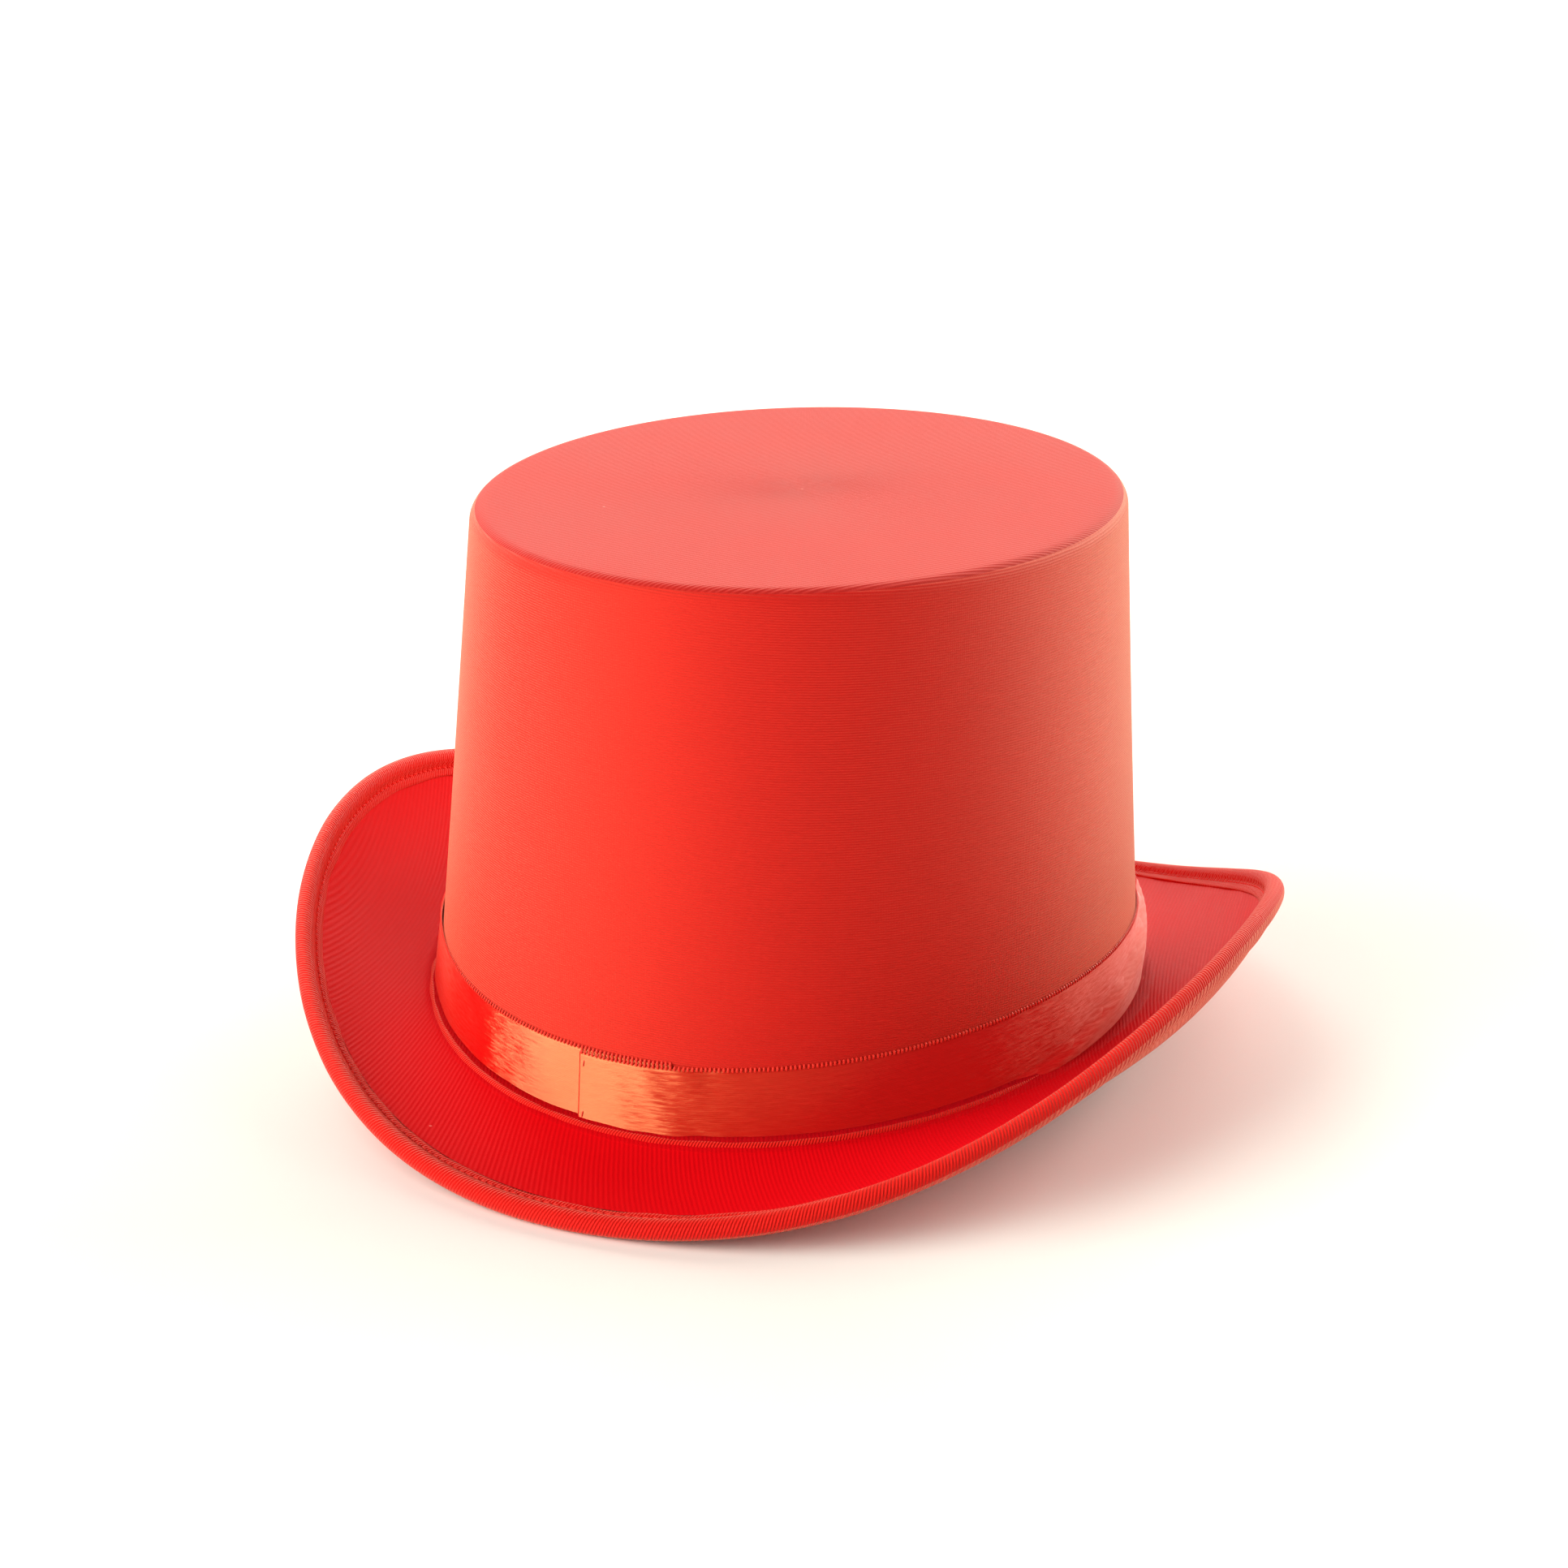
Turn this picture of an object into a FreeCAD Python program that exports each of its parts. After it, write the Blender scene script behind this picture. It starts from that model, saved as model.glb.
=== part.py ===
# Satin top hat: a stiff oval crown and a curled brim, both covered in satin, with a ribbon round
# the foot of the crown, a bound and wired brim edge, and a lined inside with a sweatband.
#
# Millimetres. +Z is up, -Y is the front of the hat, +X is the wearer's left. The origin is on the
# surface that the hat stands on, under the middle of the crown. The hat stands on the lowest
# stretches of the brim's edge, at the front and at the back.
import FreeCAD, Part
import math
import os
from FreeCAD import Placement, Rotation, Vector

doc = FreeCAD.newDocument("top_hat")

# ---------------------------------------------------------------- driving dimensions
DIMENSIONS = [
    # crown: an oval cone, given by its half axes at the standing level and at the tip
    ("foot_half_width", 90.3),
    ("foot_half_length", 102.8),
    ("tip_half_width", 78.2),
    ("tip_half_length", 100.0),
    ("crown_top", 142.3),
    ("tip_corner", 4.0),
    # line where the crown meets the brim: lowest at the front and back, higher at the sides
    ("base_front_height", 8.6),
    ("base_side_rise", 7.1),
    # thicknesses of the crown's layers, from the outside in
    ("ribbon_thick", 0.5),
    ("cover_thick", 0.5),
    ("shell_thick", 1.8),
    ("tape_thick", 0.6),
    ("lining_thick", 0.4),
    ("sweatband_thick", 0.9),
    ("join_thick", 0.4),
    ("label_thick", 0.3),
    ("thread", 0.3),
    # heights and lengths of the bands
    ("ribbon_width", 19.0),
    ("ribbon_lap", 24.0),
    ("ribbon_clear", 0.3),
    ("tack_length", 2.4),
    ("tack_from_edge", 2.8),
    ("tape_height", 10.0),
    ("headsize_seam_drop", 1.6),
    ("lining_clear", 1.0),
    ("welt_thick", 1.2),
    ("welt_height", 0.8),
    ("welt_drop", 2.2),
    ("sweatband_height", 28.0),
    ("sweatband_seam_drop", 0.4),
    ("join_width", 9.0),
    ("join_clear", 0.5),
    ("label_width", 18.0),
    ("label_height", 11.0),
    ("label_above_foot", 8.0),
    ("label_hem", 1.0),
    # brim: the board with satin on both faces, and the line of its edge
    ("board_thick", 1.6),
    ("satin_thick", 0.4),
    ("edge_half_width", 121.0),
    ("edge_half_length", 139.1),
    ("edge_width_swell", 1.6),
    ("edge_length_swell", 1.3),
    ("edge_curl", 21.9),
    ("edge_flat", 2.8),
    ("curl_angle", 75.0),
    ("front_slope", -0.22),
    ("side_slope", 0.13),
    # edge binding: a round roll with a flange on each face of the brim, over a wire
    ("roll_radius", 2.55),
    ("binding_thick", 0.5),
    ("board_end", 1.2),
    ("flange_reach", 5.2),
    ("stitch_reach", 2.7),
    ("wire_radius", 0.7),
    ("sleeve_radius", 1.0),
    ("sleeve_length", 14.0),
    ("topstitch_radius", 0.2),
]

sizes = doc.addObject("Spreadsheet::Sheet", "sizes")
for row, (alias, value) in enumerate(DIMENSIONS, start=1):
    sizes.set("A%d" % row, alias)
    sizes.set("B%d" % row, str(value))
    sizes.setAlias("B%d" % row, alias)
doc.recompute()


def size(alias):
    """A dimension's value, read from the sheet."""
    return float(getattr(sizes, alias))


# Depths of the crown's layers below the outer face of its cover, as expressions on the sheet.
COVER_BACK = "sizes.cover_thick"
SHELL_BACK = COVER_BACK + " + sizes.shell_thick"
TAPE_BACK = SHELL_BACK + " + sizes.tape_thick"
LINING_BACK = TAPE_BACK + " + sizes.lining_thick"
SWEATBAND_BACK = LINING_BACK + " + sizes.sweatband_thick"
JOIN_BACK = SWEATBAND_BACK + " + sizes.join_thick"
LABEL_BACK = SWEATBAND_BACK + " + sizes.label_thick"
BRIM_THICK = "sizes.board_thick + 2 * sizes.satin_thick"

BACK_OF_HAT = 90.0           # direction of the back, in degrees anticlockwise from +X
RIBBON_END = 262.0           # where the ribbon's upper end lies, just right of the front
TACK_TURN = 1.0              # from the ribbon's upper end to the stitches that hold it
LABEL_ANGLE = 76.0           # the label sits beside the sweatband's join
TRIM_REACH = 160.0           # half length of the shapes that only trim others

subparts = []


def sub_part(shape_object, name):
    """Names an object as one of the hat's pieces."""
    shape_object.Label = name
    subparts.append(shape_object)
    return shape_object


# ---------------------------------------------------------------- shapes of the crown
def oval(name, half_width, half_length, height):
    """A horizontal ellipse, long along Y. The sizes are expressions on the sheet."""
    ellipse = doc.addObject("Part::Ellipse", name)
    ellipse.MajorRadius = size("foot_half_length")
    ellipse.MinorRadius = size("tip_half_width")
    ellipse.Placement = Placement(Vector(), Rotation(Vector(0, 0, 1), 90))
    ellipse.setExpression("MajorRadius", half_length)
    ellipse.setExpression("MinorRadius", half_width)
    ellipse.setExpression("Placement.Base.z", height)
    return ellipse


def oval_cone(name, depth, rounded=False):
    """The crown's outline as a solid, set in by depth all round and at the tip."""
    foot = oval(name + "_foot", "sizes.foot_half_width - (%s)" % depth,
                "sizes.foot_half_length - (%s)" % depth, "0")
    tip = oval(name + "_tip", "sizes.tip_half_width - (%s)" % depth,
               "sizes.tip_half_length - (%s)" % depth, "sizes.crown_top - (%s)" % depth)
    cone = doc.addObject("Part::Loft", name)
    cone.Sections = [foot, tip]
    cone.Solid = True
    cone.Ruled = True
    if not rounded:
        return cone
    doc.recompute()
    top = cone.Shape.BoundBox.ZMax
    radius = size("tip_corner") - (size("crown_top") - top)
    tip_edges = [index for index, edge in enumerate(cone.Shape.Edges, start=1)
                 if edge.BoundBox.ZMin > top - 0.01]
    corner = doc.addObject("Part::Fillet", name + "_corner")
    corner.Base = cone
    corner.Edges = [(index, radius, radius) for index in tip_edges]
    return corner


def above_base(name, lift):
    """A lying cylinder whose underside is the line of the crown's foot, raised by lift.

    Its radius makes the line rise by base_side_rise from the middle to the sides.
    """
    radius = "(sizes.foot_half_width^2 + sizes.base_side_rise^2) / (2 * sizes.base_side_rise)"
    cylinder = doc.addObject("Part::Cylinder", name)
    cylinder.setExpression("Radius", radius)
    cylinder.Height = 2 * TRIM_REACH
    cylinder.Placement = Placement(Vector(0, -TRIM_REACH, 0), Rotation(Vector(1, 0, 0), -90))
    cylinder.setExpression("Placement.Base.z", "sizes.base_front_height + %s + %s" % (radius, lift))
    return cylinder


def combined(kind, name, base, tool):
    """A boolean of two objects: kind is Part::Cut, Part::Common or Part::Fuse."""
    result = doc.addObject(kind, name)
    result.Base = base
    result.Tool = tool
    return result


def band(name, outer, inner, low, high):
    """A strip round the crown between two depths and two heights above the crown's foot."""
    ring = combined("Part::Cut", name + "_ring", oval_cone(name + "_outer", outer),
                    oval_cone(name + "_inner", inner))
    raised = combined("Part::Common", name + "_raised", ring, above_base(name + "_low", low))
    return combined("Part::Cut", name + "_band", raised, above_base(name + "_high", high))


def wedge(name, angle, width):
    """An upright slab that points from the middle of the hat towards angle, in degrees."""
    slab = doc.addObject("Part::Box", name)
    slab.Length = TRIM_REACH
    slab.setExpression("Width", width)
    slab.Height = size("crown_top")
    turn = Rotation(Vector(0, 0, 1), angle)
    half_width = FreeCAD.Units.Quantity(slab.evalExpression(width)).Value / 2
    slab.Placement = Placement(turn.multVec(Vector(0, -half_width, 0)), turn)
    return slab


# ---------------------------------------------------------------- crown
outer_cone = oval_cone("crown_outside", "0", rounded=True)
cover_cone = oval_cone("crown_under_cover", COVER_BACK, rounded=True)
shell_cone = oval_cone("crown_inside", SHELL_BACK, rounded=True)
crown_foot = above_base("crown_foot", "0")

cover_cup = combined("Part::Cut", "cover_cup", outer_cone, cover_cone)
sub_part(combined("Part::Common", "cover", cover_cup, crown_foot), "crown_cover")

shell_cup = combined("Part::Cut", "shell_cup", cover_cone, shell_cone)
sub_part(combined("Part::Common", "shell", shell_cup, crown_foot), "crown_shell")

# The tape stands inside the joint of crown and brim and hides the brim's inner edge.
sub_part(band("tape", SHELL_BACK, TAPE_BACK, "-(%s)" % BRIM_THICK, "sizes.tape_height"), "headsize_tape")
sub_part(band("headsize_thread", TAPE_BACK, TAPE_BACK + " + sizes.thread",
              "-sizes.headsize_seam_drop", "-sizes.headsize_seam_drop + sizes.thread"), "headsize_seam")

# ---------------------------------------------------------------- ribbon
# One strip round the crown's foot, whose upper end laps over its lower end.
ribbon_low = "sizes.ribbon_clear"
ribbon_top = "sizes.ribbon_clear + sizes.ribbon_width"
ribbon_round = band("ribbon_round", "-sizes.ribbon_thick", "0", ribbon_low, ribbon_top)
ribbon_layer = band("ribbon_layer", "-2 * sizes.ribbon_thick", "-sizes.ribbon_thick", ribbon_low, ribbon_top)
lap_turn = math.degrees(size("ribbon_lap") / 2 / size("foot_half_length"))
ribbon_lap = combined("Part::Common", "ribbon_lap", ribbon_layer,
                      wedge("lap_slab", RIBBON_END + lap_turn, "sizes.ribbon_lap"))
sub_part(combined("Part::Fuse", "ribbon", ribbon_round, ribbon_lap), "hat_ribbon")

# Two short stitches hold the ribbon's upper end, near its edges.
tack_layer = "-2 * sizes.ribbon_thick"
tack_slab = wedge("tack_slab", RIBBON_END + TACK_TURN, "2 * sizes.thread")
tack_rows = (("lower", ribbon_low + " + sizes.tack_from_edge"),
             ("upper", ribbon_top + " - sizes.tack_from_edge - sizes.tack_length"))
tacks = []
for place, low in tack_rows:
    high = low + " + sizes.tack_length"
    strip = band("tack_" + place, tack_layer + " - sizes.thread", tack_layer, low, high)
    tacks.append(combined("Part::Common", "tack_%s_stitch" % place, strip, tack_slab))
tack_group = doc.addObject("Part::Compound", "tack_group")
tack_group.Links = tacks
sub_part(tack_group, "ribbon_tacks")

# ---------------------------------------------------------------- lining
lining_cup = combined("Part::Cut", "lining_cup", oval_cone("lining_outer", TAPE_BACK),
                      oval_cone("lining_inner", LINING_BACK))
lining_foot = above_base("lining_foot", "sizes.lining_clear")
lining_bag = combined("Part::Common", "lining_bag", lining_cup, lining_foot)
tip_slab = doc.addObject("Part::Box", "tip_slab")
tip_slab.Length = 2 * TRIM_REACH
tip_slab.Width = 2 * TRIM_REACH
tip_slab.Height = size("crown_top")
tip_slab.Placement.Base = Vector(-TRIM_REACH, -TRIM_REACH, 0)
tip_slab.setExpression("Placement.Base.z", "sizes.crown_top - (%s)" % LINING_BACK)
sub_part(combined("Part::Cut", "lining_side", lining_bag, tip_slab), "side_lining")
sub_part(combined("Part::Common", "lining_tip", lining_bag, tip_slab), "tip_lining")

# The seam between the side and the tip of the lining, a welt of folded satin.
welt_outer = oval_cone("welt_outer", LINING_BACK)
welt_inner = oval_cone("welt_inner", LINING_BACK + " + sizes.welt_thick")
welt_cup = combined("Part::Cut", "welt_cup", welt_outer, welt_inner)
welt_slab = doc.addObject("Part::Box", "welt_slab")
welt_slab.Length = 2 * TRIM_REACH
welt_slab.Width = 2 * TRIM_REACH
welt_slab.setExpression("Height", "sizes.welt_height")
welt_slab.Placement.Base = Vector(-TRIM_REACH, -TRIM_REACH, 0)
welt_slab.setExpression("Placement.Base.z", "sizes.crown_top - (%s) - sizes.welt_drop" % LINING_BACK)
sub_part(combined("Part::Common", "welt", welt_cup, welt_slab), "lining_seam")

# ---------------------------------------------------------------- sweatband
sub_part(band("head_band", LINING_BACK, SWEATBAND_BACK, "-(%s)" % BRIM_THICK,
              "sizes.sweatband_height"), "sweatband")
sub_part(band("band_thread", SWEATBAND_BACK, SWEATBAND_BACK + " + sizes.thread",
              "-sizes.sweatband_seam_drop", "-sizes.sweatband_seam_drop + sizes.thread"), "sweatband_seam")
join_ring = band("join_ring", SWEATBAND_BACK, JOIN_BACK, "sizes.join_clear",
                 "sizes.sweatband_height - sizes.join_clear")
sub_part(combined("Part::Common", "join", join_ring,
                  wedge("join_slab", BACK_OF_HAT, "sizes.join_width")), "sweatband_join_tape")

# A blank woven label, sewn to the sweatband beside its join.
label_top = "sizes.label_above_foot + sizes.label_height"
label_ring = band("label_ring", SWEATBAND_BACK, LABEL_BACK, "sizes.label_above_foot", label_top)
sub_part(combined("Part::Common", "label", label_ring,
                  wedge("label_slab", LABEL_ANGLE, "sizes.label_width")), "care_label")
label_thread = band("label_thread", LABEL_BACK, LABEL_BACK + " + sizes.thread / 2",
                    label_top + " - sizes.label_hem - sizes.thread", label_top + " - sizes.label_hem")
thread_slab = wedge("thread_slab", LABEL_ANGLE, "sizes.label_width - 2 * sizes.label_hem")
sub_part(combined("Part::Common", "label_sewing", label_thread, thread_slab), "label_stitching")

# ---------------------------------------------------------------- shape of the brim
STATIONS = 32                # directions at which the brim's sections are worked out
STEP = 1e-3                  # small change of direction or position, for slopes
HALVINGS = 24                # steps of the search for a place across the brim
HALF_BRIM = size("board_thick") / 2 + size("satin_thick")
HALF_BOARD = size("board_thick") / 2
INNER = size("cover_thick") + size("shell_thick")
ROOT_REACH = 0.45            # pull of the slope at the crown, as a part of the section's length
EDGE_REACH = 0.23            # pull of the slope at the edge
BOARD_PLACES = (0.0, 0.2, 0.4, 0.6, 0.8)   # sections across the brim that shape its layers


def crown_half_axes(height):
    """Half width and half length of the crown's cover at a height."""
    part = height / size("crown_top")
    half_width = size("foot_half_width") + part * (size("tip_half_width") - size("foot_half_width"))
    half_length = size("foot_half_length") + part * (size("tip_half_length") - size("foot_half_length"))
    return half_width, half_length


def base_height(x):
    """Height of the line where the crown meets the brim, at a place across the hat."""
    radius = (size("foot_half_width") ** 2 + size("base_side_rise") ** 2) / (2 * size("base_side_rise"))
    return size("base_front_height") + radius - math.sqrt(radius ** 2 - x ** 2)


def base_point(angle, inset=0.0):
    """Middle of the brim's thickness at the crown, in by inset from the cover's face."""
    half_width, half_length = crown_half_axes(size("base_front_height") + size("base_side_rise") / 2)
    x = (half_width - inset) * math.cos(angle)
    y = (half_length - inset) * math.sin(angle)
    return Vector(x, y, base_height(x) - HALF_BRIM)


def edge_point(angle):
    """Centre of the rolled edge. It stands one roll radius high at the front and back."""
    x = size("edge_half_width") * math.cos(angle) + size("edge_width_swell") * math.cos(3 * angle)
    y = size("edge_half_length") * math.sin(angle) + size("edge_length_swell") * math.sin(3 * angle)
    rise = size("edge_curl") * (1 + math.cos(2 * angle))
    flat = size("edge_flat") * (math.cos(4 * angle) - 1)
    return Vector(x, y, size("roll_radius") + rise + flat)


def side_share(angle):
    """1 at the sides of the hat and 0 at its front and back."""
    return 0.5 + 0.5 * math.cos(2 * angle)


def outward(angle):
    """Level direction across the brim, away from the crown."""
    across = edge_point(angle) - base_point(angle)
    across.z = 0
    return across.normalize()


def edge_direction(angle):
    """Direction in which the brim arrives at its edge: level in front, steep at the sides."""
    steep = math.radians(size("curl_angle")) * side_share(angle)
    return outward(angle) * math.cos(steep) + Vector(0, 0, math.sin(steep))


def brim_middle(angle, place):
    """Middle of the brim's thickness. place is 0 at the crown and 1 at the roll's centre."""
    root = base_point(angle)
    edge = edge_point(angle)
    length = (edge - root).Length
    slope = size("front_slope") + (size("side_slope") - size("front_slope")) * side_share(angle)
    leave = (outward(angle) + Vector(0, 0, slope)).normalize()
    near_root = root + leave * (ROOT_REACH * length)
    near_edge = edge - edge_direction(angle) * (EDGE_REACH * length)
    rest = 1 - place
    return (root * rest ** 3 + near_root * (3 * rest ** 2 * place)
            + near_edge * (3 * rest * place ** 2) + edge * place ** 3)


def place_from_edge(angle, reach):
    """The place across the brim that lies at a distance inside the roll's centre."""
    low, high = 0.0, 1.0
    for _ in range(HALVINGS):
        place = (low + high) / 2
        if (brim_middle(angle, place) - edge_point(angle)).Length > reach:
            low = place
        else:
            high = place
    return place


def brim_normal(angle, place):
    """Unit vector square to the brim, on its upper side."""
    along = brim_middle(angle + STEP, place) - brim_middle(angle - STEP, place)
    across = brim_middle(angle, place + STEP) - brim_middle(angle, place - STEP)
    return across.cross(along).normalize()


def brim_point(angle, place, lift):
    """A point at lift above the middle of the brim's thickness."""
    return brim_middle(angle, place) + brim_normal(angle, place) * lift


def roll_point(angle, turn, radius):
    """A point round the roll's centre: turn 0 is outward, 90 is on the brim's upper side."""
    normal = brim_normal(angle, 1.0)
    across = edge_direction(angle)
    spread = math.radians(turn)
    return edge_point(angle) + (across * math.cos(spread) + normal * math.sin(spread)) * radius


# ---------------------------------------------------------------- solids that run round the brim
def ring(point_at):
    """A smooth closed curve through the points that point_at gives round the hat."""
    angles = [2 * math.pi * index / STATIONS for index in range(STATIONS)]
    curve = Part.BSplineCurve()
    curve.interpolate(Points=[point_at(angle) for angle in angles], PeriodicFlag=True)
    return Part.Wire(curve.toShape())


def brim_ring(place, lift):
    return ring(lambda angle: brim_point(angle, place, lift))


def reach_ring(reach, lift):
    """A ring of the brim at a distance inside the roll's centre."""
    return ring(lambda angle: brim_point(angle, place_from_edge(angle, reach), lift))


def inner_ring(lift):
    """The brim's inner edge, level with the inside of the crown's shell."""
    return ring(lambda angle: base_point(angle, INNER) + Vector(0, 0, lift))


def roll_ring(turn, radius):
    return ring(lambda angle: roll_point(angle, turn, radius))


def ring_solid(chains):
    """A closed solid. Each chain of rings is one face, and starts on the last one's end."""
    faces = []
    for chain in chains:
        faces += Part.makeLoft(chain, False, len(chain) == 2).Faces
    shell = Part.makeShell(faces)
    shell.sewShape()
    solid = Part.makeSolid(Part.Shell(shell.Faces))
    if solid.Volume < 0:
        solid.reverse()
    return solid


def ring_part(name, shape):
    """A piece that runs round the brim."""
    piece = doc.addObject("Part::Feature", name + "_shape")
    piece.Shape = shape
    piece.Placement = Placement()
    return sub_part(piece, name)


def tube(centre_ring):
    """A round tube: centre_ring gives its ring at each turn round the section."""
    upper = [centre_ring(turn) for turn in (0, 45, 90, 135, 180)]
    lower = [centre_ring(turn) for turn in (180, 225, 270, 315, 360)]
    return ring_solid([upper, lower])


def brim_layer(name, low, high):
    """One layer of the brim, between two levels of its thickness."""
    end = size("board_end")
    top = [inner_ring(high)] + [brim_ring(place, high) for place in BOARD_PLACES] + [reach_ring(end, high)]
    under = [inner_ring(low)] + [brim_ring(place, low) for place in BOARD_PLACES] + [reach_ring(end, low)]
    chains = [top, [top[-1], under[-1]], list(reversed(under)), [under[0], top[0]]]
    ring_part(name, ring_solid(chains))


brim_layer("brim_core", -HALF_BOARD, HALF_BOARD)
brim_layer("brim_top_cover", HALF_BOARD, HALF_BRIM)
brim_layer("brim_under_cover", -HALF_BRIM, -HALF_BOARD)

# ---------------------------------------------------------------- wire in the edge
wire_radius = size("wire_radius")
ring_part("brim_wire", tube(lambda turn: roll_ring(turn, wire_radius)))


BEND_TURN = 0.06             # half the arc, in radians, that measures the edge's curve


def edge_bend():
    """Radius of the edge's curve at the back of the hat."""
    back = math.radians(BACK_OF_HAT)
    before = edge_point(back - BEND_TURN)
    after = edge_point(back + BEND_TURN)
    return Part.Arc(before, edge_point(back), after).toShape().Curve.Radius


# A crimped sleeve joins the wire's two ends at the back.
bend = edge_bend()
sleeve_turn = math.degrees(size("sleeve_length") / bend)
sleeve_solids = []
for name, radius in (("sleeve_outside", "sizes.sleeve_radius"), ("sleeve_bore", "sizes.wire_radius")):
    torus = doc.addObject("Part::Torus", name)
    torus.Radius1 = bend
    torus.setExpression("Radius2", radius)
    torus.Angle3 = sleeve_turn
    centre = edge_point(math.radians(BACK_OF_HAT)) - Vector(0, bend, 0)
    torus.Placement = Placement(centre, Rotation(Vector(0, 0, 1), BACK_OF_HAT - sleeve_turn / 2))
    sleeve_solids.append(torus)
sub_part(combined("Part::Cut", "sleeve", sleeve_solids[0], sleeve_solids[1]), "wire_sleeve")

# ---------------------------------------------------------------- binding
# The strip wraps the edge: a flange on the brim's upper face, a roll, and a flange underneath.
flange_face = HALF_BRIM + size("binding_thick")
roll_radius = size("roll_radius")
roll_start = 180 - math.degrees(math.asin(flange_face / roll_radius))
roll_turns = [roll_start * share for share in (1, 0.75, 0.5, 0.25, 0, -0.25, -0.5, -0.75, -1)]
pocket_turns = [-90, -45, 0, 45, 90]
flange_reaches = [size("flange_reach"), size("stitch_reach")]

upper_flange = [reach_ring(reach, flange_face) for reach in flange_reaches]
upper_flange += [roll_ring(roll_start, roll_radius)]
roll = [roll_ring(turn, roll_radius) for turn in roll_turns]
lower_flange = [roll_ring(-roll_start, roll_radius)]
lower_flange += [reach_ring(reach, -flange_face) for reach in reversed(flange_reaches)]
lower_slot = [reach_ring(reach, -HALF_BRIM) for reach in flange_reaches]
lower_slot += [roll_ring(-90, HALF_BRIM)]
pocket = [roll_ring(turn, HALF_BRIM) for turn in pocket_turns]
upper_slot = [roll_ring(90, HALF_BRIM)]
upper_slot += [reach_ring(reach, HALF_BRIM) for reach in reversed(flange_reaches)]
ring_part("brim_binding", ring_solid([
    upper_flange, roll, lower_flange, [lower_flange[-1], lower_slot[0]],
    lower_slot, pocket, upper_slot, [upper_slot[-1], upper_flange[0]]]))

# The needle thread on the upper flange and the bobbin thread under the lower one.
thread_radius = size("topstitch_radius")


def thread_ring(side):
    """One thread of the seam that holds the binding: side is 1 above the brim, -1 below."""
    level = side * (flange_face + thread_radius)

    def section(turn):
        spread = math.radians(turn)
        reach = size("stitch_reach") - thread_radius * math.cos(spread)
        return reach_ring(reach, level + thread_radius * math.sin(spread))
    return tube(section)


ring_part("binding_topstitch", Part.makeCompound([thread_ring(1), thread_ring(-1)]))

# ---------------------------------------------------------------- check and write
doc.recompute()
faults = [item.Label for item in doc.Objects if "Invalid" in item.State or "Error" in item.State]
for piece in subparts:
    if piece.Shape.isNull() or not piece.Shape.isValid() or not piece.Shape.Solids:
        faults.append(piece.Label)
if faults:
    raise RuntimeError("not built: " + ", ".join(sorted(set(faults))))

os.makedirs("parts", exist_ok=True)
for piece in subparts:
    piece.Shape.exportStep("parts/%s.step" % piece.Label)
    print("%-22s %3d solids %10.1f mm3" % (piece.Label, len(piece.Shape.Solids), piece.Shape.Volume))
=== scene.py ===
"""The looks of a red satin top hat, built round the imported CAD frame.

Metres. +Z is up, -Y is the front of the hat, +X is the wearer's left. Directions round the hat are
angles anticlockwise from +X, seen from above. The cloth pieces replace the CAD solids of the same
layers. The stiff inner pieces, which nothing shows, stay as CAD made them.
"""
import math

import bmesh
import bpy
import numpy as np
from mathutils import Matrix, Vector


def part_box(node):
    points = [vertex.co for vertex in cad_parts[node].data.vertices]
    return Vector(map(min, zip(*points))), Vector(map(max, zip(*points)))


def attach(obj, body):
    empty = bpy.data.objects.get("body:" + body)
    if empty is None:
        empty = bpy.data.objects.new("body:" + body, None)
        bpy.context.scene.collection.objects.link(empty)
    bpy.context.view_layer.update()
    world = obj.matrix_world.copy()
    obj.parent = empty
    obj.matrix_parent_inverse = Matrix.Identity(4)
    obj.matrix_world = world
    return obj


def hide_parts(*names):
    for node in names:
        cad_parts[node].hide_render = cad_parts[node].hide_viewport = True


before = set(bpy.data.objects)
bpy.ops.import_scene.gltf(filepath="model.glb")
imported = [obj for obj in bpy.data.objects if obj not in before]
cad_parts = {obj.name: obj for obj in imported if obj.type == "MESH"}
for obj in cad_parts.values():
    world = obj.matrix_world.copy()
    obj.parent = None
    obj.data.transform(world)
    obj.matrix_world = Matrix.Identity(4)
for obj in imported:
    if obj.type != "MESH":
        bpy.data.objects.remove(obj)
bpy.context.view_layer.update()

MM = 0.001
TAU = 2 * math.pi
rng = np.random.default_rng(7)

# ---------------------------------------------------------------- sizes read from the frame
COVER_LOW, COVER_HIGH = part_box("crown_cover")
LINING_LOW, LINING_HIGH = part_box("tip_lining")
WIRE_LOW, WIRE_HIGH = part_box("brim_wire")
TOP = COVER_HIGH.z
# The lining lies this far inside the crown's outer surface.
LINING_DEPTH = TOP - LINING_HIGH.z
TIP_X = LINING_HIGH.x + LINING_DEPTH
TIP_Y = LINING_HIGH.y + LINING_DEPTH
# The crown's foot is lowest at the front and back, and rises by BASE_RISE to the sides.
BASE_FRONT = COVER_LOW.z
BASE_RISE = 7.1 * MM
SLOPE_X = (COVER_HIGH.x - TIP_X) / (TOP - BASE_FRONT - BASE_RISE)
SLOPE_Y = (COVER_HIGH.y - TIP_Y) / (TOP - BASE_FRONT)
FOOT_X = TIP_X + SLOPE_X * TOP
FOOT_Y = TIP_Y + SLOPE_Y * TOP
TIP_CORNER = 4.0 * MM

# Radii of the wire and of the rolled edge, half the brim's thickness, and the binding's thickness.
WIRE = 0.7 * MM
ROLL = 2.55 * MM
HALF_BRIM = 1.2 * MM
BINDING = 0.5 * MM
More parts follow.
